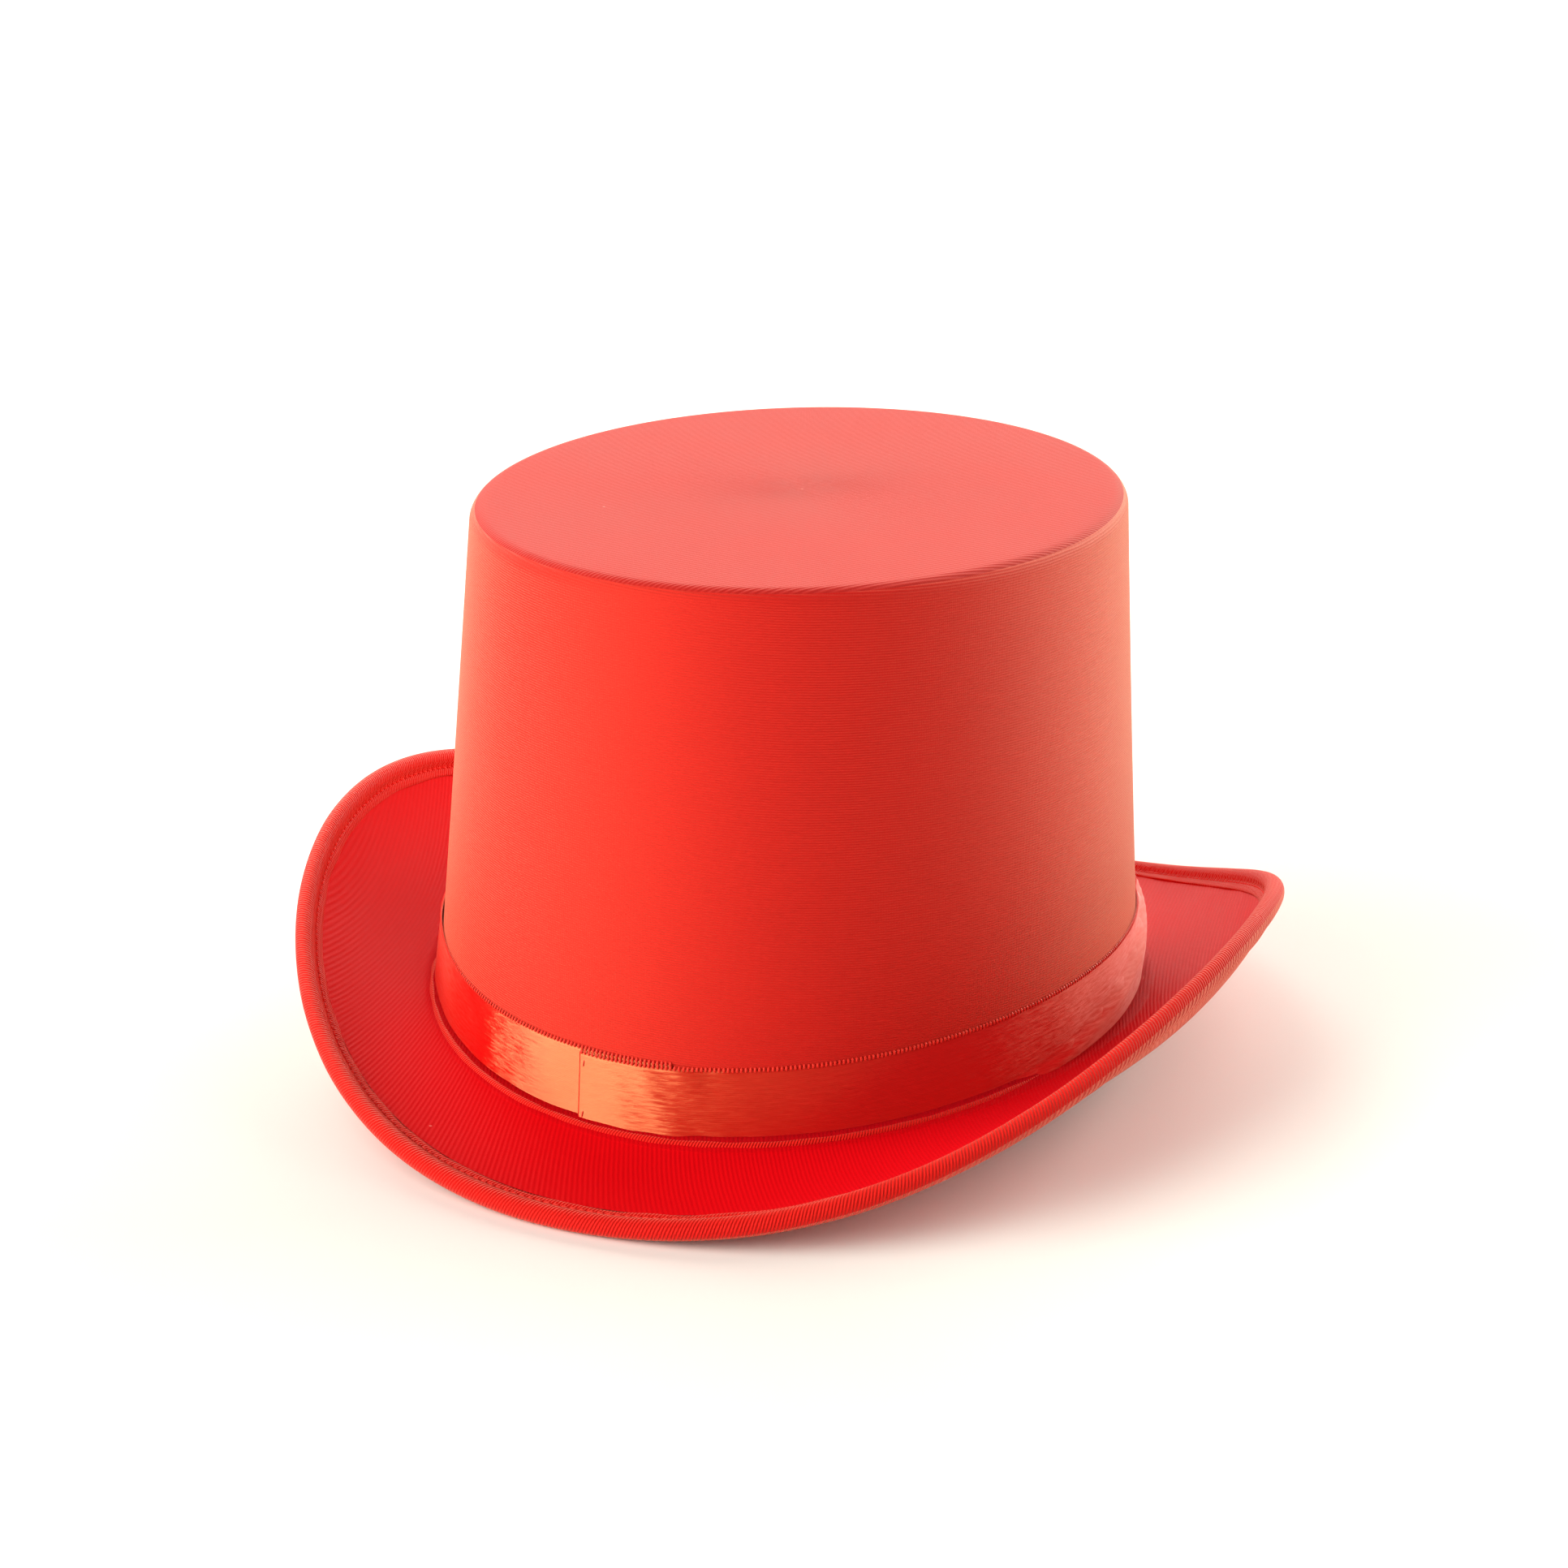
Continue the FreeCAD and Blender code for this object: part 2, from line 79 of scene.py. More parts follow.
# The edge in plan is an ellipse with a small third wave. It curls up at the sides, and EDGE_FLAT keeps
# the front and back level for longer.
EDGE_SWELL_X = 1.6 * MM
EDGE_SWELL_Y = 1.3 * MM
EDGE_X = WIRE_HIGH.x - WIRE - EDGE_SWELL_X
EDGE_Y = WIRE_HIGH.y - WIRE + EDGE_SWELL_Y
EDGE_CURL = (WIRE_HIGH.z - WIRE_LOW.z - 2 * WIRE) / 2
EDGE_FLAT = 2.8 * MM
# The brim's cross-section: how steeply its edge stands at the sides, its slopes where it leaves the
# crown, and how far each end's slope reaches, as shares of the width.
CURL_ANGLE = math.radians(75)
FRONT_SLOPE = -0.22
SIDE_SLOPE = 0.13
ROOT_REACH = 0.45
EDGE_REACH = 0.23
# The binding's seam lies this far inside the roll's centre.
STITCH_REACH = 2.7 * MM

# The ribbon: its width, its height above the foot, the direction of its upper end, and its lap.
RIBBON_WIDTH = 19.0 * MM
RIBBON_CLEAR = 0.1 * MM
RIBBON_END = math.radians(262)
RIBBON_LAP = 24.0 * MM
# Lengths round the crown are measured at this height.
GIRTH_HEIGHT = 20.0 * MM


# ---------------------------------------------------------------- shapes, as functions of direction
UP = np.array([0.0, 0.0, 1.0])


def unit(v):
    return v / np.linalg.norm(v, axis=-1, keepdims=True)


def stack(x, y, z):
    return np.stack(np.broadcast_arrays(x, y, z), axis=-1)


def oval(angle, half_x, half_y, height):
    """A point of a level oval in a direction."""
    return stack(half_x * np.cos(angle), half_y * np.sin(angle), height)


def base_height(x):
    """Height of the line where the crown meets the brim."""
    radius = (FOOT_X ** 2 + BASE_RISE ** 2) / (2 * BASE_RISE)
    return BASE_FRONT + radius - np.sqrt(radius ** 2 - np.asarray(x) ** 2)


def crown_point(angle, height, out=0.0):
    """A point of the crown's side at a height, moved outward by out."""
    return oval(angle, FOOT_X - SLOPE_X * height + out, FOOT_Y - SLOPE_Y * height + out, height)


def foot_height(angle):
    """Height of the crown's foot in a direction."""
    return base_height(FOOT_X * np.cos(angle))


def base_point(angle, inset=0.0):
    """The middle of the brim's thickness at the crown, moved inward by inset."""
    middle = BASE_FRONT + BASE_RISE / 2
    x = (FOOT_X - SLOPE_X * middle - inset) * np.cos(angle)
    y = (FOOT_Y - SLOPE_Y * middle - inset) * np.sin(angle)
    return stack(x, y, base_height(x) - HALF_BRIM)


def edge_point(angle):
    """The centre of the rolled edge."""
    x = EDGE_X * np.cos(angle) + EDGE_SWELL_X * np.cos(3 * angle)
    y = EDGE_Y * np.sin(angle) + EDGE_SWELL_Y * np.sin(3 * angle)
    z = ROLL + EDGE_CURL * (1 + np.cos(2 * angle)) + EDGE_FLAT * (np.cos(4 * angle) - 1)
    return stack(x, y, z)


def side_share(angle):
    """1 at the sides and 0 at the front and back."""
    return 0.5 + 0.5 * np.cos(2 * angle)


def leave_slope(angle):
    """Rise per metre of the brim where it leaves the crown."""
    return FRONT_SLOPE + (SIDE_SLOPE - FRONT_SLOPE) * side_share(angle)


def outward(angle):
    """The level direction across the brim."""
    across = edge_point(angle) - base_point(angle)
    across[..., 2] = 0
    return unit(across)


def edge_direction(angle):
    """The direction in which the brim reaches its edge."""
    steep = CURL_ANGLE * side_share(angle)
    return outward(angle) * np.cos(steep)[..., None] + UP * np.sin(steep)[..., None]


def brim_middle(angle, place):
    """Middle of the brim's thickness. place is 0 at the crown and 1 at the roll's centre."""
    angle, place = np.broadcast_arrays(angle, place)
    root = base_point(angle)
    edge = edge_point(angle)
    length = np.linalg.norm(edge - root, axis=-1)[..., None]
    leave = unit(outward(angle) + UP * leave_slope(angle)[..., None])
    near_root = root + leave * ROOT_REACH * length
    near_edge = edge - edge_direction(angle) * EDGE_REACH * length
    p = place[..., None]
    q = 1 - p
    return root * q ** 3 + near_root * 3 * q ** 2 * p + near_edge * 3 * q * p ** 2 + edge * p ** 3


def place_from_edge(angle, reach):
    """The place across the brim that lies at a distance inside the roll's centre."""
    edge = edge_point(angle)
    low = np.full(np.shape(angle), 0.3)
    high = np.ones(np.shape(angle))
    halvings = 24
    for _ in range(halvings):
        place = (low + high) / 2
        far = np.linalg.norm(brim_middle(angle, place) - edge, axis=-1) > reach
        low = np.where(far, place, low)
        high = np.where(far, high, place)
    return (low + high) / 2


def brim_normal(angle, place):
    step = 1e-4
    along = brim_middle(angle + step, place) - brim_middle(angle - step, place)
    across = brim_middle(angle, place + step) - brim_middle(angle, place - step)
    return unit(np.cross(across, along))


def brim_point(angle, place, lift):
    """A point of the brim at a height above the middle of its thickness."""
    lift = np.asarray(lift)[..., None]
    return brim_middle(angle, place) + brim_normal(angle, place) * lift


def roll_point(angle, turn, radius):
    """A point round the roll's centre: turn 0 is outward and a quarter turn is the brim's upper side."""
    across = edge_direction(angle)
    normal = brim_normal(angle, np.ones_like(angle))
    c = (np.cos(turn) * radius)[..., None]
    s = (np.sin(turn) * radius)[..., None]
    return edge_point(angle) + across * c + normal * s


def smooth_step(low, high, value):
    share = np.clip((value - low) / (high - low), 0, 1)
    return share * share * (3 - 2 * share)


def turn_gap(angle, middle):
    """Signed turn from middle to angle, from minus to plus half a turn."""
    return (angle - middle + math.pi) % TAU - math.pi


def bump_at(angle, middle, width):
    return np.exp(-(turn_gap(angle, middle) / width) ** 2)


def ripple(angle, seed, low, high):
    """A smooth closed wave round the hat, about 1 high, made of a few seeded harmonics. low and high
    are the fewest and the most waves in a turn."""
    count = 9
    source = np.random.default_rng(seed)
    orders = source.integers(low, high, count)
    phases = source.uniform(0, TAU, count)
    waves = [np.sin(order * angle + phase) for order, phase in zip(orders, phases)]
    return np.sum(waves, axis=0) / math.sqrt(count)


# ---------------------------------------------------------------- meshes
def grid_piece(name, points, cloth, close_rows=False, close_columns=True, caps=()):
    """A smooth mesh through a grid of points. cloth holds each point's place on the flat cloth, in
    metres, and is kept as the UV map that the weave follows. Columns run round the hat, and caps
    lists the rows that a fan of triangles closes."""
    rows, columns = points.shape[:2]
    row_count = rows if close_rows else rows - 1
    column_count = columns if close_columns else columns - 1
    r = np.arange(row_count)[:, None]
    c = np.arange(column_count)[None, :]
    r1 = (r + 1) % rows
    c1 = (c + 1) % columns
    faces = np.stack([r * columns + c, r * columns + c1, r1 * columns + c1, r1 * columns + c], axis=-1)
    faces = faces.reshape(-1, 4)
    period = cloth["period"]
    u, v = cloth["u"], cloth["v"]
    face_u = np.stack([u[r, c], u[r, c1], u[r1, c1], u[r1, c]], axis=-1).reshape(-1, 4)
    face_v = np.stack([v[r, c], v[r, c1], v[r1, c1], v[r1, c]], axis=-1).reshape(-1, 4)
    if period:
        face_u = np.where(face_u < face_u.max(axis=1, keepdims=True) - period / 2, face_u + period, face_u)
    verts = points.reshape(-1, 3)
    loops = faces.reshape(-1)
    uv = np.stack([face_u.reshape(-1), face_v.reshape(-1)], axis=-1)
    sizes = np.full(len(faces), 4)
    for row in caps:
        centre = len(verts)
        ring = row * columns + np.arange(columns)
        verts = np.vstack([verts, verts[ring].mean(axis=0)])
        nxt = np.roll(ring, -1)
        fan = np.stack([ring, nxt, np.full(columns, centre)], axis=-1)
        if row == 0:
            fan = fan[:, [1, 0, 2]]
        ring_u = u[row]
        next_u = np.roll(ring_u, -1)
        next_u = np.where(next_u < ring_u - 1e-9, next_u + period, next_u)
        corner_u = np.stack([ring_u, next_u, (ring_u + next_u) / 2], axis=-1)
        fan_uv = np.stack([corner_u, np.full(corner_u.shape, v[row, 0])], axis=-1)
        if row == 0:
            fan_uv = fan_uv[:, [1, 0, 2]]
        loops = np.concatenate([loops, fan.reshape(-1)])
        uv = np.vstack([uv, fan_uv.reshape(-1, 2)])
        sizes = np.concatenate([sizes, np.full(columns, 3)])
    return mesh_piece(name, verts, loops, sizes, uv)


def mesh_piece(name, verts, loops, sizes, uv=None):
    """A smooth mesh from its points, its faces' corners in one row, and each face's corner count."""
    mesh = bpy.data.meshes.new(name)
    mesh.vertices.add(len(verts))
    mesh.vertices.foreach_set("co", np.ascontiguousarray(verts, dtype=np.float32).reshape(-1))
    mesh.loops.add(len(loops))
    mesh.loops.foreach_set("vertex_index", np.ascontiguousarray(loops, dtype=np.int32))
    mesh.polygons.add(len(sizes))
    starts = np.concatenate([[0], np.cumsum(sizes)[:-1]]).astype(np.int32)
    mesh.polygons.foreach_set("loop_start", starts)
    mesh.update(calc_edges=True)
    if uv is not None:
        layer = mesh.uv_layers.new(name="cloth")
        layer.data.foreach_set("uv", np.ascontiguousarray(uv, dtype=np.float32).reshape(-1))
    mesh.polygons.foreach_set("use_smooth", np.ones(len(sizes), dtype=bool))
    mesh.validate()
    piece = bpy.data.objects.new(name, mesh)
    bpy.context.scene.collection.objects.link(piece)
    return piece


def face_outward(piece, fill_holes=False):
    """Turns a closed mesh's faces outward, after closing its open ends if asked."""
    shape = bmesh.new()
    shape.from_mesh(piece.data)
    if fill_holes:
        bmesh.ops.holes_fill(shape, edges=[edge for edge in shape.edges if edge.is_boundary])
    bmesh.ops.recalc_face_normals(shape, faces=shape.faces)
    shape.to_mesh(piece.data)
    shape.free()


def round_hat(count):
    """Directions evenly round the hat."""
    return np.arange(count) * TAU / count


def girth(row):
    """Running length along a closed row of points, from its first point, and the whole length."""
    step = np.linalg.norm(np.roll(row, -1, axis=0) - row, axis=-1)
    run = np.concatenate([[0], np.cumsum(step)[:-1]])
    return run, step.sum()


def climb(points):
    """Running length down each column of a grid of points."""
    step = np.linalg.norm(np.diff(points, axis=0), axis=-1)
    return np.vstack([np.zeros(points.shape[1]), np.cumsum(step, axis=0)])


def closed_band(name, rows, girth_row, capped=False):
    """A cloth piece through closed rows of points. Lengths along the cloth are measured on girth_row.
    The first and last rows are each capped, or else they are joined."""
    points = np.vstack(rows)
    run, whole = girth(girth_row)
    cloth = {"u": np.broadcast_to(run, points.shape[:2]), "v": climb(points), "period": whole}
    caps = (0, len(points) - 1) if capped else ()
    piece = grid_piece(name, points, cloth, close_rows=not capped, caps=caps)
    face_outward(piece)
    return piece


def capsules(name, starts, ends, normals, radius, depth=1.0):
    """Many short threads as one mesh. Each runs from its start to its end and bows along its normal.
    depth flattens them."""
    sides = 6
    count = len(starts)
    # Six rings along each thread: how far along, how thick, and how far out.
    shares = np.array([0.0, 0.12, 0.35, 0.65, 0.88, 1.0])
    swell = np.array([0.35, 0.85, 1.0, 1.0, 0.85, 0.35])
    bow = np.array([-0.9, -0.25, 0.25, 0.25, -0.25, -0.9])
    axis = unit(ends - starts)
    side = unit(np.cross(axis, normals))
    lift = np.cross(side, axis)
    centre = starts[:, None] + (ends - starts)[:, None] * shares[None, :, None]
    centre = centre + lift[:, None] * (bow * radius)[None, :, None]
    turns = np.arange(sides) * TAU / sides
    ring = (side[:, None, None] * np.cos(turns)[None, None, :, None]
            + lift[:, None, None] * np.sin(turns)[None, None, :, None] * depth)
    verts = centre[:, :, None] + ring * (radius * swell)[None, :, None, None]
    rings = len(shares)
    per = rings * sides
    r = np.arange(rings - 1)[:, None]
    c = np.arange(sides)[None, :]
    c1 = (c + 1) % sides
    quads = np.stack([r * sides + c, r * sides + c1, (r + 1) * sides + c1, (r + 1) * sides + c], -1)
    quads = quads.reshape(-1, 4)
    caps = np.array([np.arange(sides)[::-1], per - sides + np.arange(sides)])
    offsets = (np.arange(count) * per)[:, None, None]
    quad_loops = (quads[None] + offsets).reshape(-1)
    cap_loops = (caps[None] + offsets).reshape(-1)
    loops = np.concatenate([quad_loops, cap_loops])
    sizes = np.concatenate([np.full(count * len(quads), 4), np.full(count * 2, sides)])
    piece = mesh_piece(name, verts.reshape(-1, 3), loops, sizes)
    face_outward(piece)
    return piece


# ---------------------------------------------------------------- materials
class Nodes:
    """A short way to write a node tree."""

    def __init__(self, name):
        self.material = bpy.data.materials.new(name)
        self.material.use_nodes = True
        self.tree = self.material.node_tree
        self.shader = self.tree.nodes["Principled BSDF"]

    def add(self, kind, **values):
        node = self.tree.nodes.new("ShaderNode" + kind)
        for key, value in values.items():
            setattr(node, key, value)
        return node

    def link(self, source, target):
        self.tree.links.new(source, target)

    def feed(self, node, values):
        """Sets or links a node's inputs in their order, past any that is None, and gives its output."""
        for socket, value in zip(node.inputs, values):
            if isinstance(value, (int, float, tuple)):
                socket.default_value = value
            elif value is not None:
                self.link(value, socket)
        return node.outputs[0]

    def math(self, operation, *values, clamp=False):
        return self.feed(self.add("Math", operation=operation, use_clamp=clamp), values)

    def vector_math(self, operation, *values):
        return self.feed(self.add("VectorMath", operation=operation), values)

    def scaled(self, vector, factor):
        return self.vector_math("SCALE", vector, None, None, factor)

    def vector(self, *parts):
        return self.feed(self.add("CombineXYZ"), parts)

    def cloth(self):
        """Along and up the flat cloth, in millimetres."""
        place = self.add("UVMap", uv_map="cloth").outputs[0]
        parts = self.add("SeparateXYZ")
        self.link(place, parts.inputs[0])
        return self.math("MULTIPLY", parts.outputs[0], 1000), self.math("MULTIPLY", parts.outputs[1], 1000)

    def space(self):
        """The place in the hat, in millimetres, as a vector and its three parts."""
        place = self.scaled(self.add("TexCoord").outputs["Object"], 1000)
        parts = self.add("SeparateXYZ")
        self.link(place, parts.inputs[0])
        return place, parts.outputs

    def noise(self, vector, scale, detail=2.0, roughness=0.5):
        """Noise from 0 to 1. scale is its fineness per unit of the vector."""
        node = self.add("TexNoise")
        node.inputs["Scale"].default_value = scale
        node.inputs["Detail"].default_value = detail
        node.inputs["Roughness"].default_value = roughness
        self.link(vector, node.inputs["Vector"])
        return node.outputs["Fac"]

    def cloth_noise(self, along_scale, up_scale, seed, detail, roughness=0.5, scale=1.0):
        """Noise on the flat cloth, drawn out along the threads by its two scales."""
        along, up = self.cloth()
        along = self.math("MULTIPLY", along, along_scale)
        up = self.math("MULTIPLY", up, up_scale)
        return self.noise(self.vector(along, up, seed), scale, detail, roughness)

    def wave(self, phase_mm, pitch_mm):
        """A sine from 0 to 1 that repeats every pitch_mm."""
        turned = self.math("MULTIPLY", phase_mm, TAU / pitch_mm)
        return self.math("MULTIPLY_ADD", self.math("SINE", turned), 0.5, 0.5)

    def blend(self, one, two, one_share):
        """A weighted mean of two numbers."""
        first = self.math("MULTIPLY", one, one_share)
        return self.math("ADD", first, self.math("MULTIPLY", two, 1 - one_share))

    def between(self, low, high, share):
        """The colour between two colours."""
        node = self.add("Mix", data_type="RGBA")
        node.inputs["A"].default_value = (*low, 1)
        node.inputs["B"].default_value = (*high, 1)
        self.link(share, node.inputs["Factor"])
        return node.outputs["Result"]

    def span(self, share, low, high):
        """A number from low to high as share goes from 0 to 1."""
        return self.math("MULTIPLY_ADD", share, high - low, low)

    def tinted(self, color, other, share):
        """A linked colour turned towards a fixed one."""
        node = self.add("Mix", data_type="RGBA")
        node.inputs["B"].default_value = (*other, 1)
        self.link(share, node.inputs["Factor"])
        self.link(color, node.inputs["A"])
        return node.outputs["Result"]

    def bump(self, height, distance_mm, strength, before=None):
        node = self.add("Bump")
        node.inputs["Strength"].default_value = strength
        node.inputs["Distance"].default_value = distance_mm * MM
        self.link(height, node.inputs["Height"])
        if before is not None:
            self.link(before, node.inputs["Normal"])
        return node.outputs[0]

    def turn_to(self, normal, push):
        """A normal with a small push added."""
        return self.vector_math("NORMALIZE", self.vector_math("ADD", normal, push))

    def lean(self, normal, amount, share):
        """Turns a normal round the hat, by amount at share 1 and as far back at share 0."""
        across = self.vector_math("CROSS_PRODUCT", (0, 0, 1), self.add("TexCoord").outputs["Object"])
        level = self.vector_math("NORMALIZE", across)
        return self.turn_to(normal, self.scaled(level, self.span(share, -amount, amount)))

    def finish(self, color, roughness, normal, **sockets):
        """Links the three patterns and sets the shader's other sockets."""
        self.link(color, self.shader.inputs["Base Color"])
        self.link(roughness, self.shader.inputs["Roughness"])
        self.link(normal, self.shader.inputs["Normal"])
        for name, value in sockets.items():
            self.shader.inputs[name.replace("_", " ")].default_value = value
        return self.material


def specks(n, place):
    """1 on a few tiny lint specks and 0 elsewhere."""
    spacing_mm = 9.0
    size = 0.05
    share = 0.06
    cells = n.add("TexVoronoi", feature="F1")
    cells.inputs["Scale"].default_value = 1.0 / spacing_mm
    n.link(place, cells.inputs["Vector"])
    near = n.math("LESS_THAN", cells.outputs["Distance"], size)
    parts = n.add("SeparateXYZ")
    n.link(cells.outputs["Color"], parts.inputs[0])
    few = n.math("LESS_THAN", parts.outputs[0], share)
    return n.math("MULTIPLY", near, few)


LINT = (1.0, 0.35, 0.28)
SHEEN_TINT = (1.0, 0.80, 0.60)


def satin(name, deep, light, lines, pitch_mm, ridge_mm, roughness, shine, shine_tint, sheen=0.0,
          sheen_tint=SHEEN_TINT, sheen_rough=0.45, along_threads=0.0):
    """Woven satin between two colours. lines(n) gives the distance in millimetres across the visible
    lines of the weave. They lie pitch_mm apart and stand ridge_mm high."""
    thread_pitch_mm = 0.42
    n = Nodes(name)
    place, _ = n.space()
    along, _ = n.cloth()
    wander = n.noise(place, 0.05, 3)
    across = n.math("ADD", lines(n), n.math("MULTIPLY", wander, 0.6 * pitch_mm))
    line = n.wave(across, pitch_mm)
    thread = n.wave(along, thread_pitch_mm)
    grain = n.cloth_noise(2.2, 6.0, 1.0, 3, 0.7)
    fleck = n.cloth_noise(0.9, 1.3, 2.0, 3, 0.75)
    blotch = n.noise(place, 0.022, 3, 0.6)
    lint = specks(n, place)
    weave = n.blend(n.blend(line, grain, 0.55), fleck, 0.6)
    base = n.between(deep, light, n.blend(weave, blotch, 0.75))
    color = n.tinted(base, LINT, n.math("MULTIPLY", lint, 0.35))
    rough = n.span(weave, roughness + 0.05, roughness - 0.05)
    rough = n.math("ADD", rough, n.math("MULTIPLY", blotch, 0.06))
    normal = n.bump(n.math("ADD", line, n.math("MULTIPLY", thread, 0.15)), ridge_mm, 1.0)
    normal = n.bump(n.math("ADD", grain, fleck), 0.08, 0.7, normal)
    normal = n.bump(lint, 0.2, 0.6, normal)
    return n.finish(color, rough, normal, Anisotropic=along_threads, Anisotropic_Rotation=0.25,
                    Specular_IOR_Level=shine, Specular_Tint=(*shine_tint, 1), Sheen_Weight=sheen,
                    Sheen_Roughness=sheen_rough, Sheen_Tint=(*sheen_tint, 1))


def mixed(n, first, first_share, second, second_share):
    """A weighted sum of two places."""
    return n.math("ADD", n.math("MULTIPLY", first, first_share), n.math("MULTIPLY", second, second_share))


def side_lines(n):
    """Level lines round the crown's side."""
    _, parts = n.space()
    return n.math("ADD", parts[2], n.math("MULTIPLY", parts[0], 0.05))


def tip_lines(n):
    """Slanting lines on the crown's tip."""
    _, parts = n.space()
    return mixed(n, parts[0], 0.80, parts[1], -0.60)


def brim_lines(n):
    """The cloth lies askew on the brim, and its lines bend where the sides curl up."""
    _, parts = n.space()
    bend = n.math("MULTIPLY", n.math("MULTIPLY", parts[1], parts[1]), n.math("MULTIPLY", parts[0], -1.8e-5))
    return n.math("ADD", n.math("ADD", parts[0], n.math("MULTIPLY", parts[1], 0.33)), bend)


def under_lines(n):
    """Slanting lines on the brim's underside, with a slow bend."""
    along, up = n.cloth()
    bend = n.math("MULTIPLY", n.wave(along, 37.0), 1.2)
    return n.math("ADD", mixed(n, along, 0.80, up, 0.60), bend)


def roll_lines(n):
    """Lines across the binding."""
    along, up = n.cloth()
    return n.math("ADD", along, n.math("MULTIPLY", up, 0.45))


SIDE_SATIN = satin("crown_side_satin", (0.58, 0.003, 0.008), (0.80, 0.014, 0.014), side_lines,
                   pitch_mm=0.60, ridge_mm=0.10, roughness=0.58, shine=0.30, shine_tint=(1.0, 0.90, 0.40),
                   sheen=0.64, sheen_tint=(1.0, 0.74, 0.42), sheen_rough=0.38, along_threads=0.4)
# The tip is the same moulded cloth as the side, but its colours are set apart to match how the top is lit:
# painted darker red as painted shade, with a little more green and blue as a painted pale reflection.
TIP_SATIN = satin("crown_tip_satin", (0.46, 0.005, 0.011), (0.68, 0.020, 0.018), tip_lines,
                  pitch_mm=1.00, ridge_mm=0.10, roughness=0.62, shine=0.25, shine_tint=(1.0, 0.90, 0.40))
BRIM_SATIN = satin("brim_satin", (0.62, 0.0006, 0.003), (0.74, 0.002, 0.006), brim_lines,
                   pitch_mm=0.95, ridge_mm=0.05, roughness=0.45, shine=0.03, shine_tint=(1.0, 0.60, 0.60),
                   sheen=0.03, sheen_tint=(1.0, 0.20, 0.40))
UNDER_SATIN = satin("under_satin", (0.66, 0.003, 0.008), (0.92, 0.016, 0.016), under_lines,
                    pitch_mm=1.30, ridge_mm=0.40, roughness=0.60, shine=1.0, shine_tint=(1.0, 0.95, 0.65),
                    sheen=0.60, sheen_tint=(1.0, 0.44, 0.25))
BINDING_SATIN = satin("binding_satin", (0.58, 0.003, 0.004), (0.88, 0.012, 0.008), roll_lines,
                      pitch_mm=0.85, ridge_mm=0.18, roughness=0.46, shine=0.06, shine_tint=(1.0, 0.90, 0.70),
                      sheen=0.28)
LINING_SATIN = satin("lining_satin", (0.46, 0.001, 0.004), (0.58, 0.003, 0.009), roll_lines,
                     pitch_mm=0.60, ridge_mm=0.03, roughness=0.33, shine=0.8, shine_tint=(1.0, 0.22, 0.13))


def ribbon_satin():
    """Glossy ribbon with fine threads along it. Streaks turn its shine a little to either side."""
    n = Nodes("ribbon_satin")
    place, parts = n.space()
    _, up = n.cloth()
    fine = n.cloth_noise(0.10, 5.5, 3.0, 4, 0.65)
    waves = n.cloth_noise(0.5, 1.0, 9.0, 2, 0.5, 0.35)
    streak = n.cloth_noise(0.22, 1.7, 5.0, 4, 0.65)
    thread = n.wave(up, 0.34)
    blotch = n.noise(place, 0.05, 2)
    # On the loose part on the wearer's left the ribbon is rougher and shines less, and its colour is painted
    # paler and more orange there as a painted sheen in place of the shine taken off: 0 at x = 20 mm, 1 from
    # x = 75 mm.
    dull_and_painted_sheen = n.math("MULTIPLY_ADD", parts[0], 1 / 55, -20 / 55, clamp=True)
    color = n.between((0.56, 0.0001, 0.0010), (0.70, 0.0004, 0.0030), n.blend(fine, blotch, 0.6))
    # Painted sheen: the loose part's colour is turned paler and more orange.
    color = n.tinted(color, (0.86, 0.030, 0.030), n.math("MULTIPLY", dull_and_painted_sheen, n.span(fine, 0.3, 0.9)))
    rough = n.math("ADD", n.span(fine, 0.33, 0.28), n.math("MULTIPLY", blotch, 0.03))
    rough = n.math("MULTIPLY_ADD", dull_and_painted_sheen, 0.24, rough)
    n.link(n.span(dull_and_painted_sheen, 0.72, 0.16), n.shader.inputs["Specular IOR Level"])
    normal = n.bump(n.math("ADD", fine, n.math("MULTIPLY", thread, 0.35)), 0.05, 0.8)
    normal = n.bump(waves, 0.2, 0.35, normal)
    normal = n.lean(normal, 0.28, streak)
    # The floats of the weave face a little upward.
    normal = n.turn_to(normal, (0, 0, 0.30))
    return n.finish(color, rough, normal, Anisotropic=1.0, Anisotropic_Rotation=0.25, IOR=2.0,
                    Specular_Tint=(1.0, 0.66, 0.28, 1))


RIBBON_SATIN = ribbon_satin()


def plain_cloth(name, dark, light, pitch_mm, rough_low, rough_high, ridge_mm, sheen=0.2, shine=0.5):
    """A plain two-way weave from the place in the hat, for threads, tapes and felt."""
    n = Nodes(name)
    place, parts = n.space()
    one = n.wave(n.math("ADD", parts[0], parts[2]), pitch_mm)
    two = n.wave(n.math("SUBTRACT", parts[1], parts[2]), pitch_mm)
    fuzz = n.noise(place, 3.0, 3, 0.7)
    cloud = n.noise(place, 0.08, 3)
    color = n.between(dark, light, n.blend(fuzz, cloud, 0.6))
    height = n.math("ADD", n.math("MULTIPLY", one, two), n.math("MULTIPLY", fuzz, 0.8))
    return n.finish(color, n.span(fuzz, rough_low, rough_high), n.bump(height, ridge_mm, 0.8),
                    Sheen_Weight=sheen, Sheen_Roughness=0.5, Specular_IOR_Level=shine,
                    Specular_Tint=(1.0, 0.4, 0.3, 1), Sheen_Tint=(1.0, 0.4, 0.3, 1))


